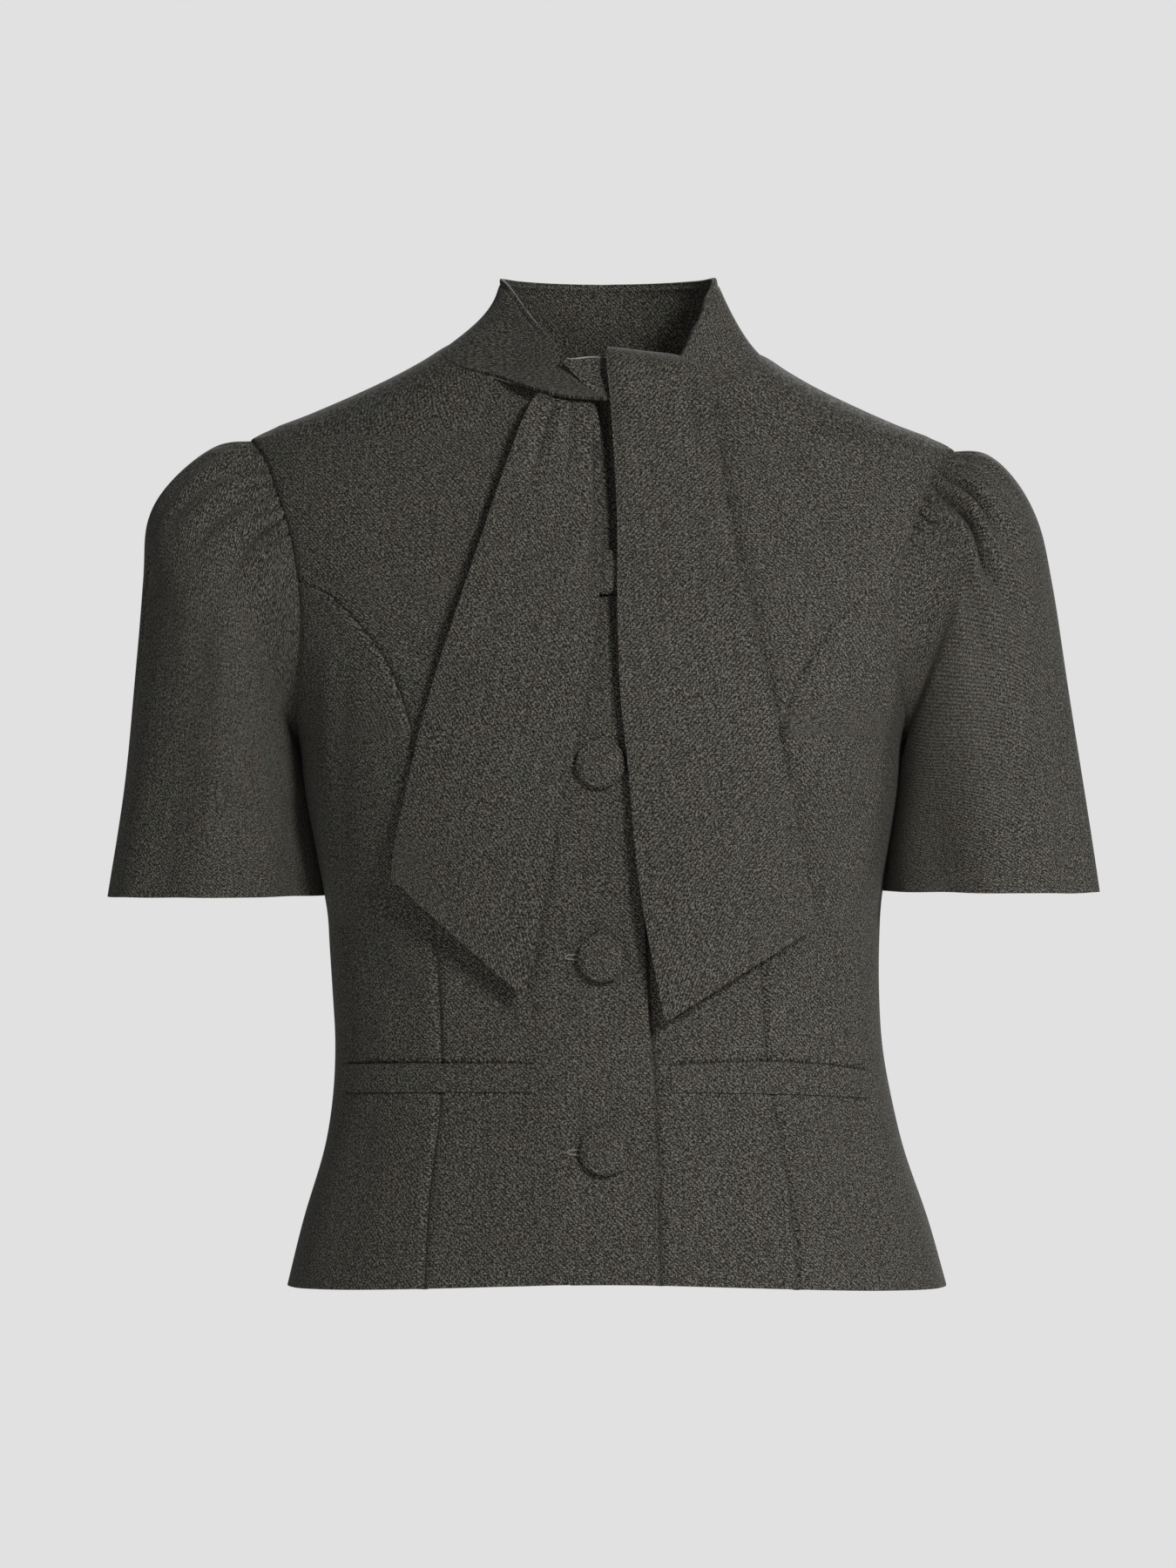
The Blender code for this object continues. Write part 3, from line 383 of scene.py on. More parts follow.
TIE_UNDER = Table(
    TIE_COLUMNS,
    (
        (0.00, -0.0250, -0.0215, -0.0160, -0.0215, 0.0680, 0.0, 0.0),
        (0.06, -0.0360, -0.0325, -0.0030, -0.0350, 0.0835, 0.0, 0.0060),
        (0.18, -0.0458, -0.0570, 0.0001, -0.0661, 0.0925, 0.5, 0.0085),
        (0.32, -0.0573, -0.0926, 0.0006, -0.1106, 0.1040, 0.9, 0.0085),
        (0.47, -0.0714, -0.1369, -0.0017, -0.1486, 0.1200, 1.0, 0.0080),
        (0.63, -0.0865, -0.1854, -0.0110, -0.2031, 0.1300, 1.0, 0.0025),
        (0.77, -0.0962, -0.2250, -0.0200, -0.2360, 0.1300, 1.0, 0.0020),
        (0.88, -0.1025, -0.2514, -0.0255, -0.2700, 0.1250, 1.0, 0.0040),
        (0.94, -0.1042, -0.2625, -0.0310, -0.3000, 0.1200, 1.0, 0.0055),
        (1.00, -0.1053, -0.2726, -0.0387, -0.3326, 0.1150, 1.0, 0.0070),
    ),
)
TIE_FOLD_ONSET = 6  # how suddenly a fold sets in
TIE_EDGE, TWIST_EDGE, FACING_EDGE = 0.0010, 0.0005, 0.0002  # how round their edges are
# Folds pressed into a tie end: place across it at its head and where it fades out, width,
# depth, and how far down it starts and fades out
TIE_UNDER_FOLDS = (
    (0.36, 0.24, 0.055, 0.0042, 0.00, 0.34),
    (0.62, 0.60, 0.090, 0.0026, 0.00, 0.28),
    (0.90, 0.93, 0.060, 0.0022, 0.10, 0.60),
)
TIE_OVER_FOLDS = (
    (0.00, 0.00, 0.100, 0.0035, 0.04, 0.55),
    (0.85, 0.70, 0.120, 0.0012, 0.18, 0.50),
    (0.45, 0.38, 0.140, 0.0010, 0.14, 0.40),
)

# Pocket welts: ends across the front, heights of the upper edge at both, its arch and the depth
WELTS = {
    RIGHT: (0.0350, 0.1330, -0.3673, -0.3690, 0.0004, 0.0142),
    LEFT: (0.0335, 0.1320, -0.3682, -0.3723, 0.0028, 0.0134),
}
WELT_MOUTH, WELT_MOUTH_WIDTH = 0.0042, 0.0010  # the slit that opens above a welt
WELT_SEAM, WELT_SEAM_WIDTH = 0.0018, 0.0010
WELT_PROUD, WELT_TUCK = 0.0008, 0.0006  # how far it stands out, and how much less at its foot

LINING_TOP, LINING_DEPTH, LINING_SPAN = -0.0010, 0.020, math.radians(68)
LINING_WIDTH, LINING_GAP = 0.15, 0.0013

# Buttons: place across the front, height and how far off its seat each is
BUTTONS = (
    (0.0018, -0.1205, 0.0003),
    (0.0009, -0.2141, -0.0004),
    (0.0012, -0.3120, 0.0009),
    (0.0025, -0.4118, 0.0010),
)

# Buttonholes, from the button's middle: the left one of their ends, and the hidden one
BUTTONHOLE_START, BUTTONHOLE_END = -0.0185, -0.0060
BUTTONHOLE_CORD, BUTTONHOLE_GAPE, BUTTONHOLE_PURL = 0.0005, 0.0011, 0.0002
BUTTONHOLE_FULL_ENDS, BUTTONHOLE_FULL_SIDES = 0.5, 0.7  # 1 makes an ellipse, less is fuller
BUTTONHOLE_SEAT = 0.4  # height of its cord's middle over the cloth, as a share of the cord
BUTTONHOLE_POINTS = 56

# Creases of the worn body: half, x and height of both ends, width and depth, which is below 0
# for a ridge. The first three lie along the tie's edge.
CREASES = (
    ("front", 0.0540, -0.030, 0.0662, -0.093, 0.0016, 0.0024),
    ("front", 0.0662, -0.093, 0.0872, -0.180, 0.0016, 0.0024),
    ("front", 0.0872, -0.180, 0.1095, -0.297, 0.0016, 0.0024),
    ("front", -0.036, -0.376, -0.008, -0.392, 0.0045, 0.0009),
    ("front", -0.040, -0.386, -0.012, -0.404, 0.0060, -0.0006),
    ("front", -0.138, -0.160, -0.140, -0.262, 0.0050, -0.0012),
    ("front", -0.131, -0.170, -0.133, -0.300, 0.0060, 0.0010),
    ("front", 0.146, -0.200, 0.118, -0.262, 0.0080, 0.0012),
    ("front", 0.138, -0.285, 0.098, -0.330, 0.0090, 0.0013),
    ("front", -0.138, -0.290, -0.100, -0.334, 0.0090, 0.0012),
    ("front", 0.062, -0.376, 0.068, -0.470, 0.0060, 0.0008),
    ("front", 0.120, -0.385, 0.138, -0.476, 0.0110, 0.0016),
    ("front", -0.118, -0.392, -0.134, -0.478, 0.0110, 0.0014),
    ("front", -0.060, -0.392, -0.066, -0.470, 0.0080, 0.0008),
    ("back", -0.128, -0.282, -0.070, -0.318, 0.0080, 0.0016),
    ("back", 0.130, -0.276, 0.064, -0.312, 0.0080, 0.0016),
    ("back", -0.124, -0.322, -0.058, -0.338, 0.0070, 0.0014),
    ("back", 0.122, -0.318, 0.052, -0.340, 0.0070, 0.0014),
    ("back", 0.020, -0.330, -0.034, -0.346, 0.0080, 0.0012),
    ("back", -0.150, -0.214, -0.110, -0.262, 0.0090, 0.0014),
    ("back", 0.150, -0.210, 0.112, -0.256, 0.0090, 0.0014),
    ("back", -0.060, -0.380, -0.078, -0.478, 0.0140, 0.0022),
    ("back", 0.066, -0.384, 0.086, -0.478, 0.0140, 0.0022),
    ("back", -0.006, -0.400, -0.002, -0.480, 0.0120, 0.0014),
    ("back", -0.070, -0.070, -0.120, -0.150, 0.0110, 0.0012),
    ("back", 0.072, -0.074, 0.122, -0.156, 0.0110, 0.0012),
)

# The back's two waist darts, as a seam line: place from the centre by height
DART = Table(
    ("height", "from_centre"),
    ((-0.484, 0.0780), (-0.400, 0.0700), (-0.330, 0.0660), (-0.250, 0.0700), (-0.185, 0.0760)),
)
DART_TOP, DART_FADE = -0.185, 0.030

CREASE_FADE = 0.2  # how far a crease runs past its ends, as a share of it
CLOTH_UNEVENNESS = 0.0005  # height of the slow waves in worn cloth
WAVES_ACROSS, WAVES_UP = 26.0, 14.0
EDGE_ROUNDING, EDGE_ANGLE = 0.3, math.radians(55)  # as a share of the cloth, and past what angle
HALVINGS = 30  # steps of the search for an angle


def smooth(t):
    t = min(max(t, 0.0), 1.0)
    return t * t * (3 - 2 * t)


def mix(a, b, t):
    return a + (b - a) * t


def bell(distance, width):
    return math.exp(-((distance / width) ** 2))


def lines(length, step):
    """Shares at which a piece this long is drawn: close together at its edges."""
    near = [distance / length for distance in EDGE_LINES]
    count = max(round((1 - 2 * near[-1]) * length / step), 1)
    middle = [mix(near[-1], 1 - near[-1], i / count) for i in range(1, count)]
    return near + middle + [1 - share for share in reversed(near)]


# The body's surface


def slant(x, height):
    fade = smooth((height - SLANT_FOOT) / SLANT_FADE)
    across = 2 * smooth(0.5 + 0.5 * x / SLANT_WIDTH) - 1
    return -(SLANT_DROP + SLANT * across) * fade


@functools.lru_cache(maxsize=None)
def section(half, height):
    """Power, half width and depth of half a section of the body's inner face, and its lean."""
    return (
        TORSO.read(half + "_full", height),
        TORSO.read("half_width", height) - PANEL_CLOTH,
        TORSO.read(half, height) - PANEL_CLOTH,
        TORSO.read("lean", height),
    )


def section_radius(angle, height):
    """Radius of the body's inner face. The angle is 0 at the centre front, a quarter turn
    at the side seam and a half turn at the centre back."""
    across, forward = abs(math.sin(angle)), abs(math.cos(angle))
    power, width, depth, _ = section("front" if math.cos(angle) > 0 else "back", height)
    return ((across / width) ** power + (forward / depth) ** power) ** (-1 / power)


def lean(height):
    return section("front", height)[3]


def torso(side, angle, height, out=0.0):
    """A point of the body's inner face, or that far out from it along its normal."""
    radius = section_radius(angle, height)
    point = Vector((side * radius * math.sin(angle), -radius * math.cos(angle), height))
    point.x += lean(height)
    point.z += slant(point.x, height)
    if out:
        point += out * torso_normal(side, angle, height)
    return point


def torso_normal(side, angle, height):
    step_angle, step_height = 0.01, 0.001
    low, high = max(height - step_height, HEM), min(height + step_height, NECK_SIDE)
    up = torso(side, angle, high) - torso(side, angle, low)
    around = torso(side, angle + step_angle, height) - torso(side, angle - step_angle, height)
    return side * around.cross(up).normalized()


@functools.lru_cache(maxsize=None)
def angle_at(from_centre, height):
    """Angle on the front at which the surface is this far from its centre line."""
    low, high = -math.pi / 2, math.pi / 2
    for _ in range(HALVINGS):
        middle = (low + high) / 2
        if section_radius(middle, height) * math.sin(middle) < from_centre:
            low = middle
        else:
            high = middle
    return (low + high) / 2


# Lines on the body: armholes, neckline, closure


def armhole_height(turn):
    return (SHOULDER_TIP + ARMPIT) / 2 + (SHOULDER_TIP - ARMPIT) / 2 * math.cos(turn)


def armhole_angle(turn):
    """Angle on the body at this turn round the armhole: 0 is its top and + is forwards."""
    if math.sin(turn) >= 0:
        scoop = 1 - ARMHOLE_FRONT_SCOOP * math.cos(turn)
        return math.pi / 2 - ARMHOLE_FRONT_DEPTH * math.sin(turn) * scoop
    return math.pi / 2 - ARMHOLE_BACK_DEPTH * math.sin(turn)


def armhole_turn(height):
    share = (height - (SHOULDER_TIP + ARMPIT) / 2) / ((SHOULDER_TIP - ARMPIT) / 2)
    return math.acos(min(max(share, -1.0), 1.0))


def neckline_height(angle):
    forward = max(math.cos(angle), 0.0)
    return NECK_SIDE - FRONT_NECK_DROP * forward**FRONT_NECK_ROUNDING


def lower_heights(welts=False):
    """Heights from the hem to the armpit, close together at the hem and at the welts."""
    heights = [HEM + distance for distance in EDGE_LINES]
    while heights[-1] < ARMPIT - PANEL_STEP / 2:
        fine = welts and WELT_ZONE[0] < heights[-1] < WELT_ZONE[1]
        heights.append(heights[-1] + (WELT_ZONE_STEP if fine else PANEL_STEP))
    return heights[:-1] + [ARMPIT]


def armhole_heights(last_turn):
    """Heights up the armhole, from just above the armpit to this turn from the shoulder."""
    depth = (SHOULDER_TIP - ARMPIT) / 2
    count = round((math.pi - last_turn) * depth / PANEL_STEP * ARMHOLE_CLOSER)
    return [armhole_height(mix(math.pi, last_turn, i / count)) for i in range(1, count + 1)]


@functools.lru_cache(maxsize=None)
def outer_front_angle(height):
    """Outer edge of a centre front panel: princess seam, armhole, then shoulder seam."""
    join = armhole_height(PRINCESS_JOIN)
    if height < join:
        seam = angle_at(PRINCESS.read("from_centre", height), height)
        bend = smooth((height - join) / PRINCESS_CURVE_IN + 1)
        return mix(seam, armhole_angle(armhole_turn(join)), bend)
    if height < SHOULDER_TIP:
        return armhole_angle(armhole_turn(height))
    return math.pi / 2


def overlap_lift(side, across):
    """The right front rises over the left one near the closure."""
    if side == LEFT:
        return 0.0
    ramp = (across - OVERLAP_RAMP_START) / (OVERLAP_RAMP_END - OVERLAP_RAMP_START)
    return (PANEL_CLOTH + LAYER_GAP) * smooth(ramp)


def hem_rise(angle, height):
    """The hem is cut a little higher at the front, and the rows above it follow."""
    fade = 1 - smooth((height - HEM) / HEM_RISE_REACH)
    return FRONT_HEM_RISE * max(math.cos(angle), 0.0) ** 2 * fade


# Relief of the worn cloth


def seam_relief(distance):
    """Height of the cloth this far from a seam: drawn in beside it, then lifted a little."""
    lift = ALLOWANCE_LIFT * bell(distance - ALLOWANCE_PLACE, ALLOWANCE_WIDTH)
    return lift - SEAM_DEPTH * bell(distance, SEAM_WIDTH)


def crease_relief(half, x, z):
    total = 0.0
    for name, x_from, z_from, x_to, z_to, width, depth in CREASES:
        if name != half:
            continue
        along_x, along_z = x_to - x_from, z_to - z_from
        length = math.hypot(along_x, along_z)
        share = ((x - x_from) * along_x + (z - z_from) * along_z) / length**2
        past = CREASE_FADE + 0.5 - abs(share - 0.5)  # how far inside its run this place is
        if past > 0:
            off = ((x - x_from) * along_z - (z - z_from) * along_x) / length
            fade = smooth(past / (2 * CREASE_FADE))
            total -= depth * bell(off, width) * fade
    return total


def welt_edges(side, share):
    """Heights of a welt's upper and lower edge at this share of its length."""
    _, _, inner_top, outer_top, arch, depth = WELTS[side]
    line = mix(inner_top, outer_top, share * share)
    return line + arch * math.sin(math.pi * share), line - depth


def welt_relief(side, angle, height):
    """The slit that a welt leaves above it, and the seam that holds it below."""
    if not WELT_ZONE[0] < height < WELT_ZONE[1]:
        return 0.0
    inner_x, outer_x = WELTS[side][:2]
    low, high = angle_at(inner_x, height), angle_at(outer_x, height)
    share = (angle - low) / (high - low)
    if not 0 < share < 1:
        return 0.0
    top, bottom = welt_edges(side, share)
    mouth = WELT_MOUTH * bell(height - top - WELT_MOUTH_WIDTH / 2, WELT_MOUTH_WIDTH)
    return -mouth - WELT_SEAM * bell(height - bottom, WELT_SEAM_WIDTH)


def slow_waves(point):
    place = Vector((point.x * WAVES_ACROSS, point.y * WAVES_ACROSS, point.z * WAVES_UP))
    return CLOTH_UNEVENNESS * noise.noise(place)


def body_point(side, angle, height, relief=0.0):
    """A point of the worn body's inner face, moved out by its creases, waves and relief."""
    point = torso(side, angle, height)
    half = "front" if math.cos(angle) > 0 else "back"
    relief += overlap_lift(side, point.x - lean(height)) if half == "front" else 0.0
    relief += crease_relief(half, point.x, point.z) + slow_waves(point)
    if half == "front":
        relief += welt_relief(side, angle, height)
        beside = side * section_radius(angle, height) * math.sin(angle) - OVERLAP
        relief -= EDGE_SINK * bell(beside - EDGE_SINK_WIDTH, EDGE_SINK_WIDTH) * (side == LEFT)
    point += relief * torso_normal(side, angle, height)
    point.z += hem_rise(angle, height)
    return point


# Making cloth


def lay_flat(bm, rows, direction):
    """Gives the cloth its flat coordinates in metres, which its weave follows."""
    layer = bm.loops.layers.uv.new("flat")
    middle = len(rows[0]) // 2
    flat, up, width = {}, 0.0, 0.0
    for j, row in enumerate(rows):
        if j:
            up += (row[middle].co - rows[j - 1][middle].co).length
        across = [0.0] * len(row)
        for i in range(middle + 1, len(row)):
            across[i] = across[i - 1] + (row[i].co - row[i - 1].co).length
        for i in range(middle - 1, -1, -1):
            across[i] = across[i + 1] - (row[i + 1].co - row[i].co).length
        width = max(width, across[-1] - across[0])
        for vert, place in zip(row, across):
            flat[vert] = (direction * place, up)
    for face in bm.faces:
        for loop in face.loops:
            loop[layer].uv = flat[loop.vert]
    return width, up


def face_outwards(bm, inside):
    """Turns the sheet's faces round if, in all, they look towards the inside."""
    bm.normal_update()
    facing = 0.0
    for face in bm.faces:
        middle = face.calc_center_median()
        facing += face.normal.dot(middle - inside(middle)) * face.calc_area()
    if facing < 0:
        bmesh.ops.reverse_faces(bm, faces=bm.faces)


def dressed(piece, finish, slot, *nodes):
    """Gives a piece its finish and its body, and hides the solids that it stands for. Its slot is
    not used.
    """
    piece.data.materials.append(finish)
    if piece.type == "MESH":
        piece.data.shade_smooth()
    bpy.context.scene.collection.objects.link(piece)
    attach(piece, "root")
    if nodes:
        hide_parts(*nodes)
    return piece


def cloth(node, columns, rows, place, thickness, inside, finish, weave=1, held="hung", **how):
    """A sheet of cloth over place(column, row), its wall grown outwards from there."""
    name = how.get("name", node + "_cloth")
    across, along = len(columns) - 1, len(rows) - 1
    bm = bmesh.new()
    bmesh.ops.create_grid(bm, x_segments=across, y_segments=along, size=0.5)
    grid = [[None] * (across + 1) for _ in rows]
    for vert in bm.verts:
        i, j = round((vert.co.x + 0.5) * across), round((vert.co.y + 0.5) * along)
        vert.co = place(columns[i], rows[j])
        grid[j][i] = vert
    cut = lay_flat(bm, grid, weave)
    if how.get("closed"):
        bmesh.ops.remove_doubles(bm, verts=bm.verts, dist=1e-5)
    face_outwards(bm, inside)
    area = sum(face.calc_area() for face in bm.faces)
    mesh = bpy.data.meshes.new(name)
    bm.to_mesh(mesh)
    bm.free()
    piece = bpy.data.objects.new(name, mesh)
    wall = piece.modifiers.new("wall", "SOLIDIFY")
    wall.thickness = thickness
    wall.offset = 1.0
    edge = piece.modifiers.new("turned_edge", "BEVEL")
    edge.width = how.get("edge", thickness * EDGE_ROUNDING)
    edge.segments = 2
    edge.limit_method = "ANGLE"
    edge.angle_limit = EDGE_ANGLE
    dressed(piece, finish, how.get("slot", "cloth"), node)
    return piece


def body_axis(point):
    return Vector((0.0, 0.0, point.z))


def behind(point):
    return point + Vector((0.0, 1.0, 0.0))


# Panels


def front(side, node, finish):
    reach = OVERLAP if side == RIGHT else UNDERLAP
    shoulder = lines(SHOULDER_LENGTH, PANEL_STEP)
    rows = [(height, 0.0) for height in lower_heights(welts=True) + armhole_heights(0.0)]
    rows += [(SHOULDER_TIP, share) for share in shoulder if share > shoulder[len(EDGE_LINES)]]

    def level_angles(height):
        return angle_at(-reach, height), outer_front_angle(height)

    def place(u, row):
        height, up = row
        low, high = level_angles(height)
        angle = mix(low, high, u)
        if up:
            top_low, top_high = level_angles(neckline_height(0.0))
            top_angle = mix(top_low, top_high, u)
            angle = mix(angle, top_angle, up)
            height = mix(SHOULDER_TIP, neckline_height(top_angle), up)
        from_seam = (1 - u) * (high - low) * section_radius(angle, height)
        return body_point(side, angle, height, seam_relief(from_seam))

    columns = lines(FRONT_WIDTH, PANEL_STEP)
    return cloth(node, columns, rows, place, PANEL_CLOTH, body_axis, finish, side)


def side_front(side, node, finish):
    heights = lower_heights(welts=True) + armhole_heights(PRINCESS_JOIN)
    heights[-1] -= SIDE_FRONT_TIP

    def place(u, height):
        armhole = armhole_angle(armhole_turn(height)) if height > ARMPIT else math.pi / 2
        low, high = outer_front_angle(height), armhole
        angle = mix(low, high, u)
        width = (high - low) * section_radius(angle, height)
        relief = seam_relief(u * width) + seam_relief((1 - u) * width)
        return body_point(side, angle, height, relief)

    columns = lines(SIDE_FRONT_WIDTH, PANEL_STEP)
    return cloth(node, columns, heights, place, PANEL_CLOTH, body_axis, finish, side)


def back_edge_angle(height):
    """Side seam, armhole, then shoulder seam, as the back panel's edge."""
    if ARMPIT < height < SHOULDER_TIP:
        return armhole_angle(-armhole_turn(height))
    return math.pi / 2


def dart_relief(from_centre, height):
    fade = smooth((DART_TOP - height) / DART_FADE)
    return seam_relief(abs(from_centre - DART.read("from_centre", height))) * fade


def back(node, finish):
    count = round((NECK_SIDE - SHOULDER_TIP) / PANEL_STEP * SHOULDER_CLOSER)
    heights = lower_heights() + armhole_heights(0.0)
    heights += [mix(SHOULDER_TIP, NECK_SIDE, i / count) for i in range(1, count + 1)]

    def place(u, height):
        edge = back_edge_angle(height)
        side = LEFT if u > 0.5 else RIGHT
        angle = mix(math.pi, edge, abs(2 * u - 1))
        radius = section_radius(angle, height)
        from_seam = (angle - edge) * radius
        relief = seam_relief(from_seam) + dart_relief(radius * math.sin(angle), height)
        return body_point(side, angle, height, relief)

    columns = lines(BACK_WIDTH, BACK_STEP)
    return cloth(node, columns, heights, place, PANEL_CLOTH, body_axis, finish)


# Collar and neck


def collar_point(side, angle, up):
    """The band's inner face, up = 0 at its foot and 1 at its edge."""
    table = COLLARS[side]
    degrees = math.degrees(angle)
    outward = Vector((side * math.sin(angle), -math.cos(angle), 0.0))
    foot = torso(side, angle, neckline_height(angle))
    forward = table.read("foot_forward", degrees)
    sewn = 1 - smooth(forward / FOOT_CLEAR)
    foot += (forward - COLLAR_INSET - COLLAR_CLOTH + FOOT_SPREAD * sewn) * outward
    foot.z += table.read("foot_rise", degrees) - FOOT_SINK * sewn
    edge = (table.read("edge_radius", degrees) - COLLAR_CLOTH) * outward
    edge.z = table.read("edge_height", degrees)
    hollow = table.read("hollow", degrees) * math.sin(math.pi * up ** COLLAR_SKEW[side])
    tall = (edge - foot).length
    groove = ROLLED_GROOVE * bell((1 - up) * tall - ROLLED_EDGE, ROLLED_EDGE / 3)
    point = mix(foot, edge, up) - (hollow + groove) * outward
    return point + slow_waves(point) * outward


def collar(node, finish):
    ends = {side: 180 - end for side, end in COLLAR_ENDS.items()}

    def place(u, up):
        from_back = mix(-ends[RIGHT], ends[LEFT], u)
        side = LEFT if from_back > 0 else RIGHT
        return collar_point(side, math.radians(180 - abs(from_back)), up)

    columns = lines(COLLAR_LENGTH, COLLAR_STEP)
    rows = lines(COLLAR_HEIGHT, COLLAR_STEP)
    return cloth(node, columns, rows, place, COLLAR_CLOTH, body_axis, finish)


def neck_lining(node, finish):
    """The strip of lining that shows inside, below the back of the collar."""

    def place(u, v):
        angle = math.pi - LINING_SPAN * abs(2 * u - 1)
        side = LEFT if u > 0.5 else RIGHT
        height = mix(LINING_TOP - LINING_DEPTH, LINING_TOP, v)
        return torso(side, angle, height, -LINING_CLOTH - LINING_GAP)

    columns, rows = lines(LINING_WIDTH, PANEL_STEP), lines(LINING_DEPTH, PANEL_STEP)
    return cloth(node, columns, rows, place, LINING_CLOTH, body_axis, finish, slot="lining")


# Ties


@functools.lru_cache(maxsize=None)
def chest_depth(x, height):
    """Depth forward of the closed front's outer face at this place."""
    height = max(min(height, neckline_height(0.0)), HEM)
    across = x - lean(height)
    side = LEFT if across > 0 else RIGHT
    angle = angle_at(abs(across), height)
    return -torso(side, angle, height, 2 * PANEL_CLOTH + LAYER_GAP).y


def tie_folds(folds, u, v):
    """How far the folds draw the cloth back at this place."""
    total = 0.0
    for head, foot, width, depth, start, fades in folds:
        share = (v - start) / (fades - start)
        if share < 1:
            profile = bell(u - mix(head, foot, min(max(share, 0.0), 1.0)), width)
            onset = smooth(share * TIE_FOLD_ONSET + 0.5)
            total += depth * profile * smooth(1 - share) * onset
    return total


def tie(node, table, folds, finish, weave):
    def place(u, v):
        x = mix(table.read("right_x", v), table.read("left_x", v), u)
        z = mix(table.read("right_z", v), table.read("left_z", v), u)
        free = table.read("forward", v)
        share = min(max(table.read("on_chest", v), 0.0), 1.0)
        draped = chest_depth(x, z) + table.read("clearance", v) if share else free
        depth = mix(free, draped, share)
        point = Vector((x, -(depth - tie_folds(folds, u, v)), z))
        point.y -= slow_waves(point)
        return point

    columns, rows = lines(TIE_WIDTH, TIE_STEP), lines(TIE_LENGTH, TIE_STEP)
    edge = {"held": "folded", "edge": TIE_EDGE}
    return cloth(node, columns, rows, place, TIE_CLOTH, behind, finish, weave, **edge)


# The small twist of cloth between the band's edge and the tie: its corners in the neck
# opening, as x, forward and height, and the folds that run together at its foot.
TWIST_CORNERS = (
    Vector((-0.0215, -0.0750, -0.0106)),
    Vector((0.0060, -0.0660, -0.0090)),
    Vector((0.0020, -0.0860, -0.0292)),
)
TWIST_FOLDS, TWIST_DEPTH, TWIST_BULGE = 1.6, 0.0010, 0.0030
TWIST_TURN, TWIST_ARCH = 2.2, 0.0008  # how its folds turn down its length; its head's arch
TWIST_FOOT, TWIST_FOOT_BULGE = 0.12, 0.35  # its foot's width and bulge, as shares of its head's
TWIST_WIDTH, TWIST_LENGTH, TWIST_STEP = 0.030, 0.024, 0.0008
# Its lining: how deep it sits, how far it shows above the head, and how far behind it
FACING_DROP, FACING_RISE, FACING_BACK = 0.0070, 0.0026, 0.0022
FACING_ROUNDING = 0.7
FACING_WIDTH, FACING_STEP = 0.027, 0.0012


def tie_knot(node, finish):
    left, right, foot = TWIST_CORNERS

    def place(u, v):
        head = mix(left, right, u) + Vector((0.0, 0.0, TWIST_ARCH * math.sin(math.pi * u)))
        tip = foot + (u - 0.5) * TWIST_FOOT * (right - left)
        point = mix(tip, head, v)
        bulge = TWIST_BULGE * math.sin(math.pi * u) * mix(TWIST_FOOT_BULGE, 1.0, v)
        turn = 2 * math.pi * TWIST_FOLDS * u + TWIST_TURN * v
        point.y -= bulge + TWIST_DEPTH * math.sin(turn) * smooth(3 * v)
        return point

    columns, rows = lines(TWIST_WIDTH, TWIST_STEP), lines(TWIST_LENGTH, TWIST_STEP)
    edge = {"held": "folded", "edge": TWIST_EDGE}
    return cloth(node, columns, rows, place, KNOT_CLOTH, behind, finish, **edge)


def twist_facing(name, finish):
    """The turned-in lining of the twist, which shows as a pale sliver above its head."""
    left, right, _ = TWIST_CORNERS

    def place(u, v):
        point = mix(left, right, u)
        arch = math.sin(math.pi * u) ** FACING_ROUNDING
        point.z += FACING_DROP * (v - 1) + FACING_RISE * arch * v
        point.y += FACING_BACK
        return point

    columns, rows = lines(FACING_WIDTH, FACING_STEP), lines(FACING_DROP, FACING_STEP)
    how = {"held": "folded", "edge": FACING_EDGE, "name": name, "slot": "lining"}
    return cloth("tie_knot", columns, rows, place, LINING_CLOTH, behind, finish, **how)


# Sleeves


@functools.lru_cache(maxsize=None)
def sleeve_section_lines(side, index):
    read = SLEEVES[side].read
    outer_x, inner_x = read("outer_x", index), read("inner_x", index) - SLEEVE_PRESS[index]
    outer = Vector((side * outer_x + SLEEVE_LEAN, 0.0, read("outer_z", index)))
    inner = Vector((side * inner_x + SLEEVE_LEAN, 0.0, read("inner_z", index)))
    middle, half = (outer + inner) / 2, (outer - inner) / 2
    return middle, half, read("middle_y", index), read("half_depth", index)


@functools.lru_cache(maxsize=None)
def sleeve_section(side, index, turn):
    """A point of the sleeve's section: the armhole itself, then ellipses down the arm."""
    if index == 0:
        out = -SEAM_DEPTH * SLEEVE_SET_IN + LAYER_GAP * (1 - math.cos(turn)) / 2
        return torso(side, armhole_angle(turn), armhole_height(turn), out)
    middle, half, middle_y, half_depth = sleeve_section_lines(side, index)
    point = middle + math.cos(turn) * half
    point.y = middle_y - half_depth * math.sin(turn)
    return point


def sleeve_surface(side, along, turn):
    """A smooth line down the sleeve through its sections, at this turn."""
    i = min(int(along), SLEEVE_SECTIONS - 1)
    here, there = sleeve_section(side, i, turn), sleeve_section(side, i + 1, turn)
    before = sleeve_section(side, i - 1, turn) if i else here
    after = sleeve_section(side, i + 2, turn) if i + 2 <= SLEEVE_SECTIONS else there
    tangent = (there - before) * (0.5 if i else 1.0)
    next_tangent = (after - here) * (0.5 if i + 2 <= SLEEVE_SECTIONS else 1.0)
    return curve_between(here, there, tangent, next_tangent, along - i)


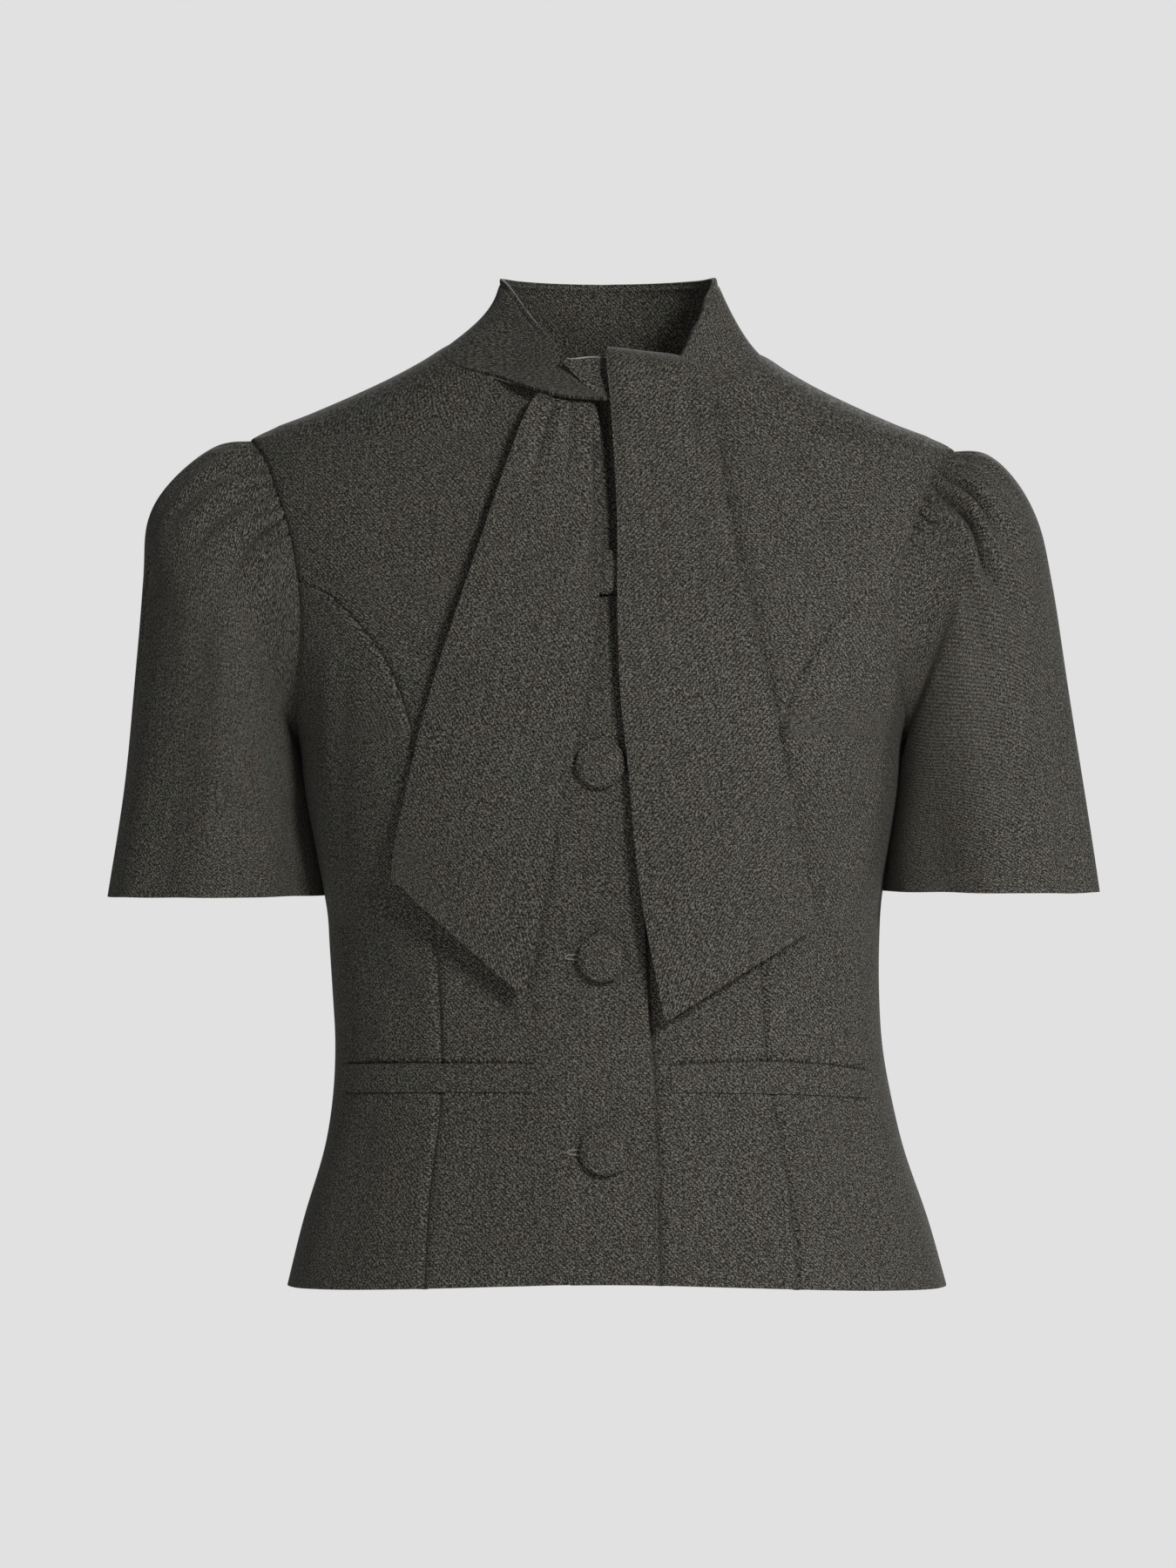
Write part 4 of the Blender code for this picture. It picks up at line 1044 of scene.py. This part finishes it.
def sleeve_normal(side, along, turn):
    step_along, step_turn = 0.02, 0.02
    low, high = max(along - step_along, 0.0), min(along + step_along, SLEEVE_SECTIONS)
    down = sleeve_surface(side, high, turn) - sleeve_surface(side, low, turn)
    ahead = sleeve_surface(side, along, turn + step_turn)
    around = ahead - sleeve_surface(side, along, turn - step_turn)
    return side * around.cross(down).normalized()


def fold_relief(folds, along, turn, sharp):
    """Depth of these troughs at this place: they widen and fade down the sleeve."""
    total = 0.0
    for centre, width, depth, start, end, sweep, bow in folds:
        share = (along - start) / (end - start)
        if 0 < share < 1:
            bend = bow * math.sin(math.pi * share)
            off = turn - math.radians(centre + sweep * share + bend)
            wide = math.radians(width) * (FOLD_START_WIDTH + FOLD_WIDENING * share)
            ridges = SHOULDER_SHARE * bell(off, wide * SHOULDER_SPREAD)
            profile = (1 + SHOULDER_SHARE) * bell(off, wide) - ridges
            total -= depth * profile * math.sin(math.pi * share**sharp)
    return total


def sleeve_turns():
    """Turns are close together over the gathered head and wider under the arm."""
    head = round(2 * SLEEVE_HEAD / HEAD_TURN)
    under = round((2 * math.pi - 2 * SLEEVE_HEAD) / UNDER_TURN)
    turns = [mix(-SLEEVE_HEAD, SLEEVE_HEAD, i / head) for i in range(head)]
    last = 2 * math.pi - SLEEVE_HEAD
    return turns + [mix(SLEEVE_HEAD, last, i / under) for i in range(under + 1)]


def sleeve_rows():
    """Places down the sleeve, in sections: close at the seam and at the cuff."""
    near = [i * i * SEAM_LINE_GROWTH for i in range(SEAM_LINES)]
    count = round(SLEEVE_LENGTH / SLEEVE_STEP)
    edge = [distance / SLEEVE_SECTION_LENGTH for distance in reversed(EDGE_LINES)]
    cuff = [SLEEVE_SECTIONS - distance for distance in edge]
    return near + [mix(near[-1], cuff[0], i / count) for i in range(1, count)] + cuff


def cuff_waves(side, along, turn):
    """The cuff isn't quite round: slow waves that grow towards the hem."""
    grow = smooth((along - CUFF_WAVES_START) / CUFF_WAVES_GROW)
    waves = [tall * math.sin(count * turn + way * side) for count, tall, way in CUFF_WAVES]
    return grow * sum(waves)


def sleeve(side, node, finish):
    def place(turn, along):
        near = turn if turn <= math.pi else turn - 2 * math.pi
        lift = fold_relief(GATHERS[side], along, near, GATHER_SHARPNESS)
        lift += fold_relief(SLEEVE_FOLDS[side], along, near, FOLD_SHARPNESS)
        lift += cuff_waves(side, along, near)
        point = sleeve_surface(side, along, turn)
        lift += slow_waves(point) * smooth(along)
        return point + lift * sleeve_normal(side, along, turn)

    def arm_axis(point):
        lines_here = SLEEVES[side]
        top, cuff = lines_here.read("outer_z", 1), lines_here.read("outer_z", SLEEVE_SECTIONS)
        t = (point.z - top) / (cuff - top)
        x = side * mix(ARM_HEAD_X, ARM_CUFF_X, t)
        return Vector((x, 0.0, point.z - ARM_HEAD_DROP * (1 - t)))

    turns, rows = sleeve_turns(), sleeve_rows()
    how = {"held": "gathered", "closed": True}
    return cloth(node, turns, rows, place, SLEEVE_CLOTH, arm_axis, finish, side, **how)


# Welts, buttons and buttonholes


def on_front(side, x, height, out):
    """A point over the closed front, this far out from its outer face."""
    angle = angle_at(side * (x - lean(height)), height)
    point = body_point(side, angle, height, PANEL_CLOTH + out)
    point.z -= hem_rise(angle, height)
    return point


def pocket_welt(side, node, finish):
    inner_x, outer_x = WELTS[side][:2]
    top, bottom = welt_edges(side, 0.5)

    def place(u, v):
        top, bottom = welt_edges(side, u)
        height = mix(bottom, top, v)
        low, high = angle_at(inner_x, height), angle_at(outer_x, height)
        angle = mix(low, high, u)
        lift = overlap_lift(side, side * section_radius(angle, height) * math.sin(angle))
        point = torso(side, angle, height)
        sunk = WELT_PROUD + PANEL_CLOTH - WELT_CLOTH - WELT_TUCK * (1 - v) ** 2
        relief = lift + sunk + crease_relief("front", point.x, point.z) + slow_waves(point)
        point += relief * torso_normal(side, angle, height)
        point.z += hem_rise(angle, height)
        return point

    columns, rows = lines(outer_x - inner_x, WELT_STEP), lines(top - bottom, WELT_STEP)
    return cloth(node, columns, rows, place, WELT_CLOTH, body_axis, finish, side, "stretched")


def button(node, across, height, seat, finish):
    """A cloth-covered dome: its profile is spun round, then set on the right front."""
    dome = BUTTON_HEIGHT * (1 - BUTTON_RIM)
    rim = BUTTON_HEIGHT * BUTTON_RIM
    profile = []
    for i in range(BUTTON_RINGS + 1):
        turn = math.pi / 2 * i / BUTTON_RINGS
        rise = dome * math.cos(turn) ** BUTTON_FLATNESS
        profile.append((BUTTON_RADIUS * math.sin(turn), rim + rise))
    profile += [(BUTTON_RADIUS * reach, rim * up) for reach, up in BUTTON_UNDERSIDE]
    bm = bmesh.new()
    verts = [bm.verts.new((reach, 0.0, up)) for reach, up in profile]
    edges = [bm.edges.new(pair) for pair in zip(verts, verts[1:])]
    bmesh.ops.spin(
        bm,
        geom=verts + edges,
        axis=(0, 0, 1),
        cent=(0, 0, 0),
        angle=2 * math.pi,
        steps=BUTTON_STEPS,
        use_merge=True,
    )
    bmesh.ops.remove_doubles(bm, verts=bm.verts, dist=1e-6)
    bmesh.ops.recalc_face_normals(bm, faces=bm.faces)
    layer = bm.loops.layers.uv.new("flat")
    for face in bm.faces:
        for loop in face.loops:
            loop[layer].uv = loop.vert.co.xy
    angle = angle_at(across - lean(height), height)
    seat_point = torso(LEFT, angle, height, 2 * PANEL_CLOTH + LAYER_GAP + seat)
    turned = torso_normal(LEFT, angle, height).to_track_quat("Z", "Y")
    for vert in bm.verts:
        vert.co = turned @ vert.co + seat_point
    mesh = bpy.data.meshes.new(node + "_covered")
    bm.to_mesh(mesh)
    bm.free()
    piece = bpy.data.objects.new(node + "_covered", mesh)
    return dressed(piece, finish, "button_cloth", node)


def fuller(share, power):
    return math.copysign(abs(share) ** power, share)


def buttonhole(name, across, height, finish):
    """The corded edge of a worked buttonhole, which shows beside the button."""
    route = bpy.data.curves.new(name, "CURVE")
    route.dimensions = "3D"
    route.bevel_depth = BUTTONHOLE_CORD
    route.bevel_resolution = 2
    line = route.splines.new("POLY")
    line.use_cyclic_u = True
    line.points.add(BUTTONHOLE_POINTS - 1)
    half = (BUTTONHOLE_END - BUTTONHOLE_START) / 2
    for i, point in enumerate(line.points):
        turn = 2 * math.pi * i / BUTTONHOLE_POINTS
        purl = BUTTONHOLE_PURL if i % 2 else 0.0
        reach = fuller(math.cos(turn), BUTTONHOLE_FULL_ENDS) * (half + purl)
        rise = fuller(math.sin(turn), BUTTONHOLE_FULL_SIDES)
        x = across + BUTTONHOLE_START + half + reach
        z = height + rise * (BUTTONHOLE_GAPE + purl)
        seat = on_front(RIGHT, x, z, BUTTONHOLE_CORD * BUTTONHOLE_SEAT)
        point.co = (*seat, 1.0)
    return dressed(bpy.data.objects.new(name, route), finish, "button_cloth")


# Finishes


def linear(hex_colour):
    """An sRGB hex colour as the linear one that a shader takes."""
    channels = [int(hex_colour[i : i + 2], 16) / 255 for i in (1, 3, 5)]
    spread = [c / 12.92 if c <= 0.04045 else ((c + 0.055) / 1.055) ** 2.4 for c in channels]
    return (*spread, 1.0)


def add(tree, kind, inputs=None, **settings):
    """Adds a node with its settings. An input takes a value, or a socket to be linked."""
    made = tree.nodes.new(kind)
    for key, value in settings.items():
        setattr(made, key, value)
    for key, value in (inputs or {}).items():
        if isinstance(value, bpy.types.NodeSocket):
            tree.links.new(value, made.inputs[key])
        else:
            made.inputs[key].default_value = value
    return made


def ramp(tree, factor, *stops):
    made = add(tree, "ShaderNodeValToRGB", {"Fac": factor})
    points = made.color_ramp.elements
    while len(points) < len(stops):
        points.new(0.5)
    for point, (position, colour) in zip(points, stops):
        point.position, point.color = position, linear(colour)
    return made.outputs["Color"]


def new_finish(name):
    """A material, its node tree and its surface shader."""
    made = bpy.data.materials.new(name)
    made.use_nodes = True
    return made, made.node_tree, made.node_tree.nodes["Principled BSDF"]


def weave_place(tree):
    return add(tree, "ShaderNodeUVMap", uv_map="flat").outputs["UV"]


def mottle(tree, place, size, detail, stretch=(1.0, 1.0, 1.0), **more):
    """Noise with patches of this size, in metres, drawn out along the axes below 1."""
    drawn = add(tree, "ShaderNodeMapping", {"Vector": place, "Scale": stretch})
    inputs = {"Vector": drawn.outputs["Vector"], "Scale": 1 / size, "Detail": detail, **more}
    return add(tree, "ShaderNodeTexNoise", inputs).outputs["Fac"]


def diagonal_lines(tree, place, spacing, axes, **more):
    """Lines across the diagonal of this many axes, this far apart in metres."""
    scale = 2 * math.pi / (10 * math.sqrt(axes) * spacing)
    inputs = {"Vector": place, "Scale": scale, **more}
    settings = {"wave_type": "BANDS", "bands_direction": "DIAGONAL"}
    return add(tree, "ShaderNodeTexWave", inputs, **settings).outputs["Fac"]


def weighted(tree, value, weight, plus):
    inputs = {0: value, 1: weight, 2: plus}
    return add(tree, "ShaderNodeMath", inputs, operation="MULTIPLY_ADD").outputs[0]


def emboss(tree, surface, height, strength, distance):
    inputs = {"Height": height, "Strength": strength, "Distance": distance}
    bump = add(tree, "ShaderNodeBump", inputs)
    tree.links.new(bump.outputs["Normal"], surface.inputs["Normal"])


# The suiting's twill lines, yarns and slubs, in metres. The real lines are 1.4 mm apart; here
# they are drawn at 1.6 mm, which still shows at the size of the picture.
TWILL_LINE = 0.0016
YARN = 0.0007
SLUB = 0.0016
WARP_DRAWN, WEFT_DRAWN, SLUB_DRAWN = (1.0, 0.45, 1.0), (0.45, 1.0, 1.0), (1.0, 0.05, 1.0)
WEAR_PATCH = 0.004
FIBRE_PATCH = 0.016
SATIN_THREAD, SATIN_DRAWN = 0.0006, (1.0, 0.12, 1.0)
TWIST_PLY = 0.0006


def melange_suiting(name, dark, middle, pale):
    """Wool-blend suiting, yarn-dyed from dark and pale fibres and woven as a fine twill:
    matt, with diagonal lines, a salt-and-pepper fleck and a faint, slow change of tint."""
    made, tree, surface = new_finish(name)
    flat = weave_place(tree)
    uneven = {"Distortion": 2.4, "Detail": 1.0, "Detail Scale": 1.4}
    line = diagonal_lines(tree, flat, TWILL_LINE, 2, **uneven)
    warp = mottle(tree, flat, YARN, 2.0, WARP_DRAWN, Roughness=0.75)
    weft = mottle(tree, flat, YARN, 2.0, WEFT_DRAWN, Roughness=0.75)
    fleck = add(tree, "ShaderNodeMix", {0: line, 2: warp, 3: weft}).outputs[0]
    slub = mottle(tree, flat, SLUB, 1.0, SLUB_DRAWN)
    weave = weighted(tree, slub, 0.05, weighted(tree, line, 0.06, fleck))
    shade = ramp(tree, weave, (0.43, dark), (0.55, middle), (0.66, pale))
    patch = mottle(tree, flat, FIBRE_PATCH, 3.0)
    tint = ramp(tree, patch, (0.36, "#fff9f5"), (0.50, "#fbfaf6"), (0.64, "#f6faf4"))
    mixing = {"data_type": "RGBA", "blend_type": "MULTIPLY"}
    colour = add(tree, "ShaderNodeMix", {0: 1.0, 6: shade, 7: tint}, **mixing).outputs[2]
    tree.links.new(colour, surface.inputs["Base Color"])
    emboss(tree, surface, weighted(tree, line, 0.35, fleck), 0.40, 0.00030)
    worn = mottle(tree, flat, WEAR_PATCH, 1.0)
    rough = add(tree, "ShaderNodeMapRange", {"Value": worn, "To Min": 0.84, "To Max": 0.94})
    tree.links.new(rough.outputs["Result"], surface.inputs["Roughness"])
    surface.inputs["Specular IOR Level"].default_value = 0.25
    surface.inputs["Sheen Weight"].default_value = 0.05
    surface.inputs["Sheen Roughness"].default_value = 0.45
    return made


def lining_satin():
    """Polyester lining, woven as a fine satin: pale grey and smooth, with a soft lustre
    along its threads."""
    made, tree, surface = new_finish("lining_satin")
    slub = mottle(tree, weave_place(tree), SATIN_THREAD, 2.0, SATIN_DRAWN)
    shade = ramp(tree, slub, (0.3, "#7c7b7a"), (0.7, "#969593"))
    tree.links.new(shade, surface.inputs["Base Color"])
    emboss(tree, surface, slub, 0.3, 0.0002)
    surface.inputs["Roughness"].default_value = 0.45
    return made


def buttonhole_twist():
    """Polyester buttonhole twist: a tight, smooth thread. Its colour carries a painted glint on
    each turn, pale along each ply and painted shade between, and the same lines give its bump.
    """
    made, tree, surface = new_finish("buttonhole_twist")
    place = add(tree, "ShaderNodeTexCoord").outputs["Object"]
    ply_relief_and_glint = diagonal_lines(tree, place, TWIST_PLY, 3)
    # Painted glint and shade: the ramp makes each turn of the ply pale and the hollow between
    # darker, as light would fall on it
    shade = ramp(tree, ply_relief_and_glint, (0.2, "#4a4844"), (0.8, "#9a968e"))
    tree.links.new(shade, surface.inputs["Base Color"])
    emboss(tree, surface, ply_relief_and_glint, 0.5, 0.0002)
    surface.inputs["Roughness"].default_value = 0.5
    return made


# The stage


PHOTO_UP = 1800
PIXEL = 0.00045
CAMERA_DISTANCE = 5.0
CAMERA_TURN = math.radians(2)
CAMERA_SIDEWAYS, CAMERA_HEIGHT = -0.0099, -0.225
SENSOR = 36.0
BACKGROUND = "#e1e1e1"
FLOOR_HEIGHT, FLOOR_RADIUS = -0.92, 2.4


def photo_camera():
    data = bpy.data.cameras.new("camera")
    data.sensor_fit = "VERTICAL"
    data.sensor_height = SENSOR
    data.lens = SENSOR * CAMERA_DISTANCE / (PHOTO_UP * PIXEL)
    camera = bpy.data.objects.new("camera", data)
    bpy.context.scene.collection.objects.link(camera)
    back = Vector((math.sin(CAMERA_TURN), -math.cos(CAMERA_TURN), 0.0))
    across = Vector((math.cos(CAMERA_TURN), math.sin(CAMERA_TURN), 0.0))
    camera.location = back * CAMERA_DISTANCE + across * CAMERA_SIDEWAYS
    camera.location.z = CAMERA_HEIGHT
    camera.rotation_euler = (math.pi / 2, 0.0, CAMERA_TURN)
    bpy.context.scene.camera = camera


def softbox(name, place, width, power):
    data = bpy.data.lights.new(name, "AREA")
    data.shape = "DISK"
    data.size = width
    data.energy = power
    light = bpy.data.objects.new(name, data)
    light.location = place
    aim = Vector((0.0, 0.0, -0.22)) - light.location
    light.rotation_mode = "QUATERNION"
    light.rotation_quaternion = aim.to_track_quat("-Z", "Y")
    bpy.context.scene.collection.objects.link(light)


def studio():
    world = bpy.data.worlds.new("studio")
    bpy.context.scene.world = world
    world.use_nodes = True
    tree = world.node_tree
    tree.nodes.clear()
    seen = add(tree, "ShaderNodeBackground", {"Color": linear(BACKGROUND), "Strength": 1.0})
    lit = add(tree, "ShaderNodeBackground", {"Color": linear("#f4f6f8"), "Strength": 0.11})
    ray = add(tree, "ShaderNodeLightPath").outputs["Is Camera Ray"]
    both = add(tree, "ShaderNodeMixShader", {0: ray, 1: lit.outputs[0], 2: seen.outputs[0]})
    add(tree, "ShaderNodeOutputWorld", {"Surface": both.outputs[0]})
    softbox("key", (1.7, -3.1, 1.35), 0.8, 96)
    softbox("fill", (-1.4, -3.2, 0.4), 1.4, 11)
    softbox("side", (3.0, -0.6, -0.2), 0.8, 16)
    softbox("back", (0.4, 2.8, 1.2), 1.2, 50)
    bpy.context.scene.view_settings.view_transform = "Standard"


def paper_floor():
    bm = bmesh.new()
    bmesh.ops.create_circle(bm, cap_ends=True, segments=96, radius=FLOOR_RADIUS)
    for vert in bm.verts:
        vert.co.z += FLOOR_HEIGHT
    mesh = bpy.data.meshes.new("floor")
    bm.to_mesh(mesh)
    bm.free()
    floor = bpy.data.objects.new("floor", mesh)
    bpy.context.scene.collection.objects.link(floor)
    paper = bpy.data.materials.new("seamless_paper")
    paper.use_nodes = True
    surface = paper.node_tree.nodes["Principled BSDF"]
    surface.inputs["Base Color"].default_value = linear("#e6e6e6")
    surface.inputs["Roughness"].default_value = 0.9
    mesh.materials.append(paper)


def main():
    photo_camera()
    suiting = melange_suiting("wool_melange_twill", "#10100f", "#2d2c29", "#7c7971")
    satin = lining_satin()
    twist = buttonhole_twist()
    front(RIGHT, "front_right", suiting)
    front(LEFT, "front_left", suiting)
    side_front(RIGHT, "side_front_right", suiting)
    side_front(LEFT, "side_front_left", suiting)
    back("back", suiting)
    collar("collar", suiting)
    neck_lining("neck_lining", satin)
    sleeve(RIGHT, "sleeve_right", suiting)
    sleeve(LEFT, "sleeve_left", suiting)
    tie("tie_under", TIE_UNDER, TIE_UNDER_FOLDS, suiting, RIGHT)
    tie("tie_over", TIE_OVER, TIE_OVER_FOLDS, suiting, LEFT)
    tie_knot("tie_knot", suiting)
    twist_facing("twist_facing", satin)
    pocket_welt(RIGHT, "pocket_welt_right", suiting)
    pocket_welt(LEFT, "pocket_welt_left", suiting)
    for number, (across, height, seat) in enumerate(BUTTONS, start=1):
        button(f"button_{number}", across, height, seat, suiting)
        buttonhole(f"buttonhole_{number}", across, height, twist)
    studio()
    paper_floor()


main()
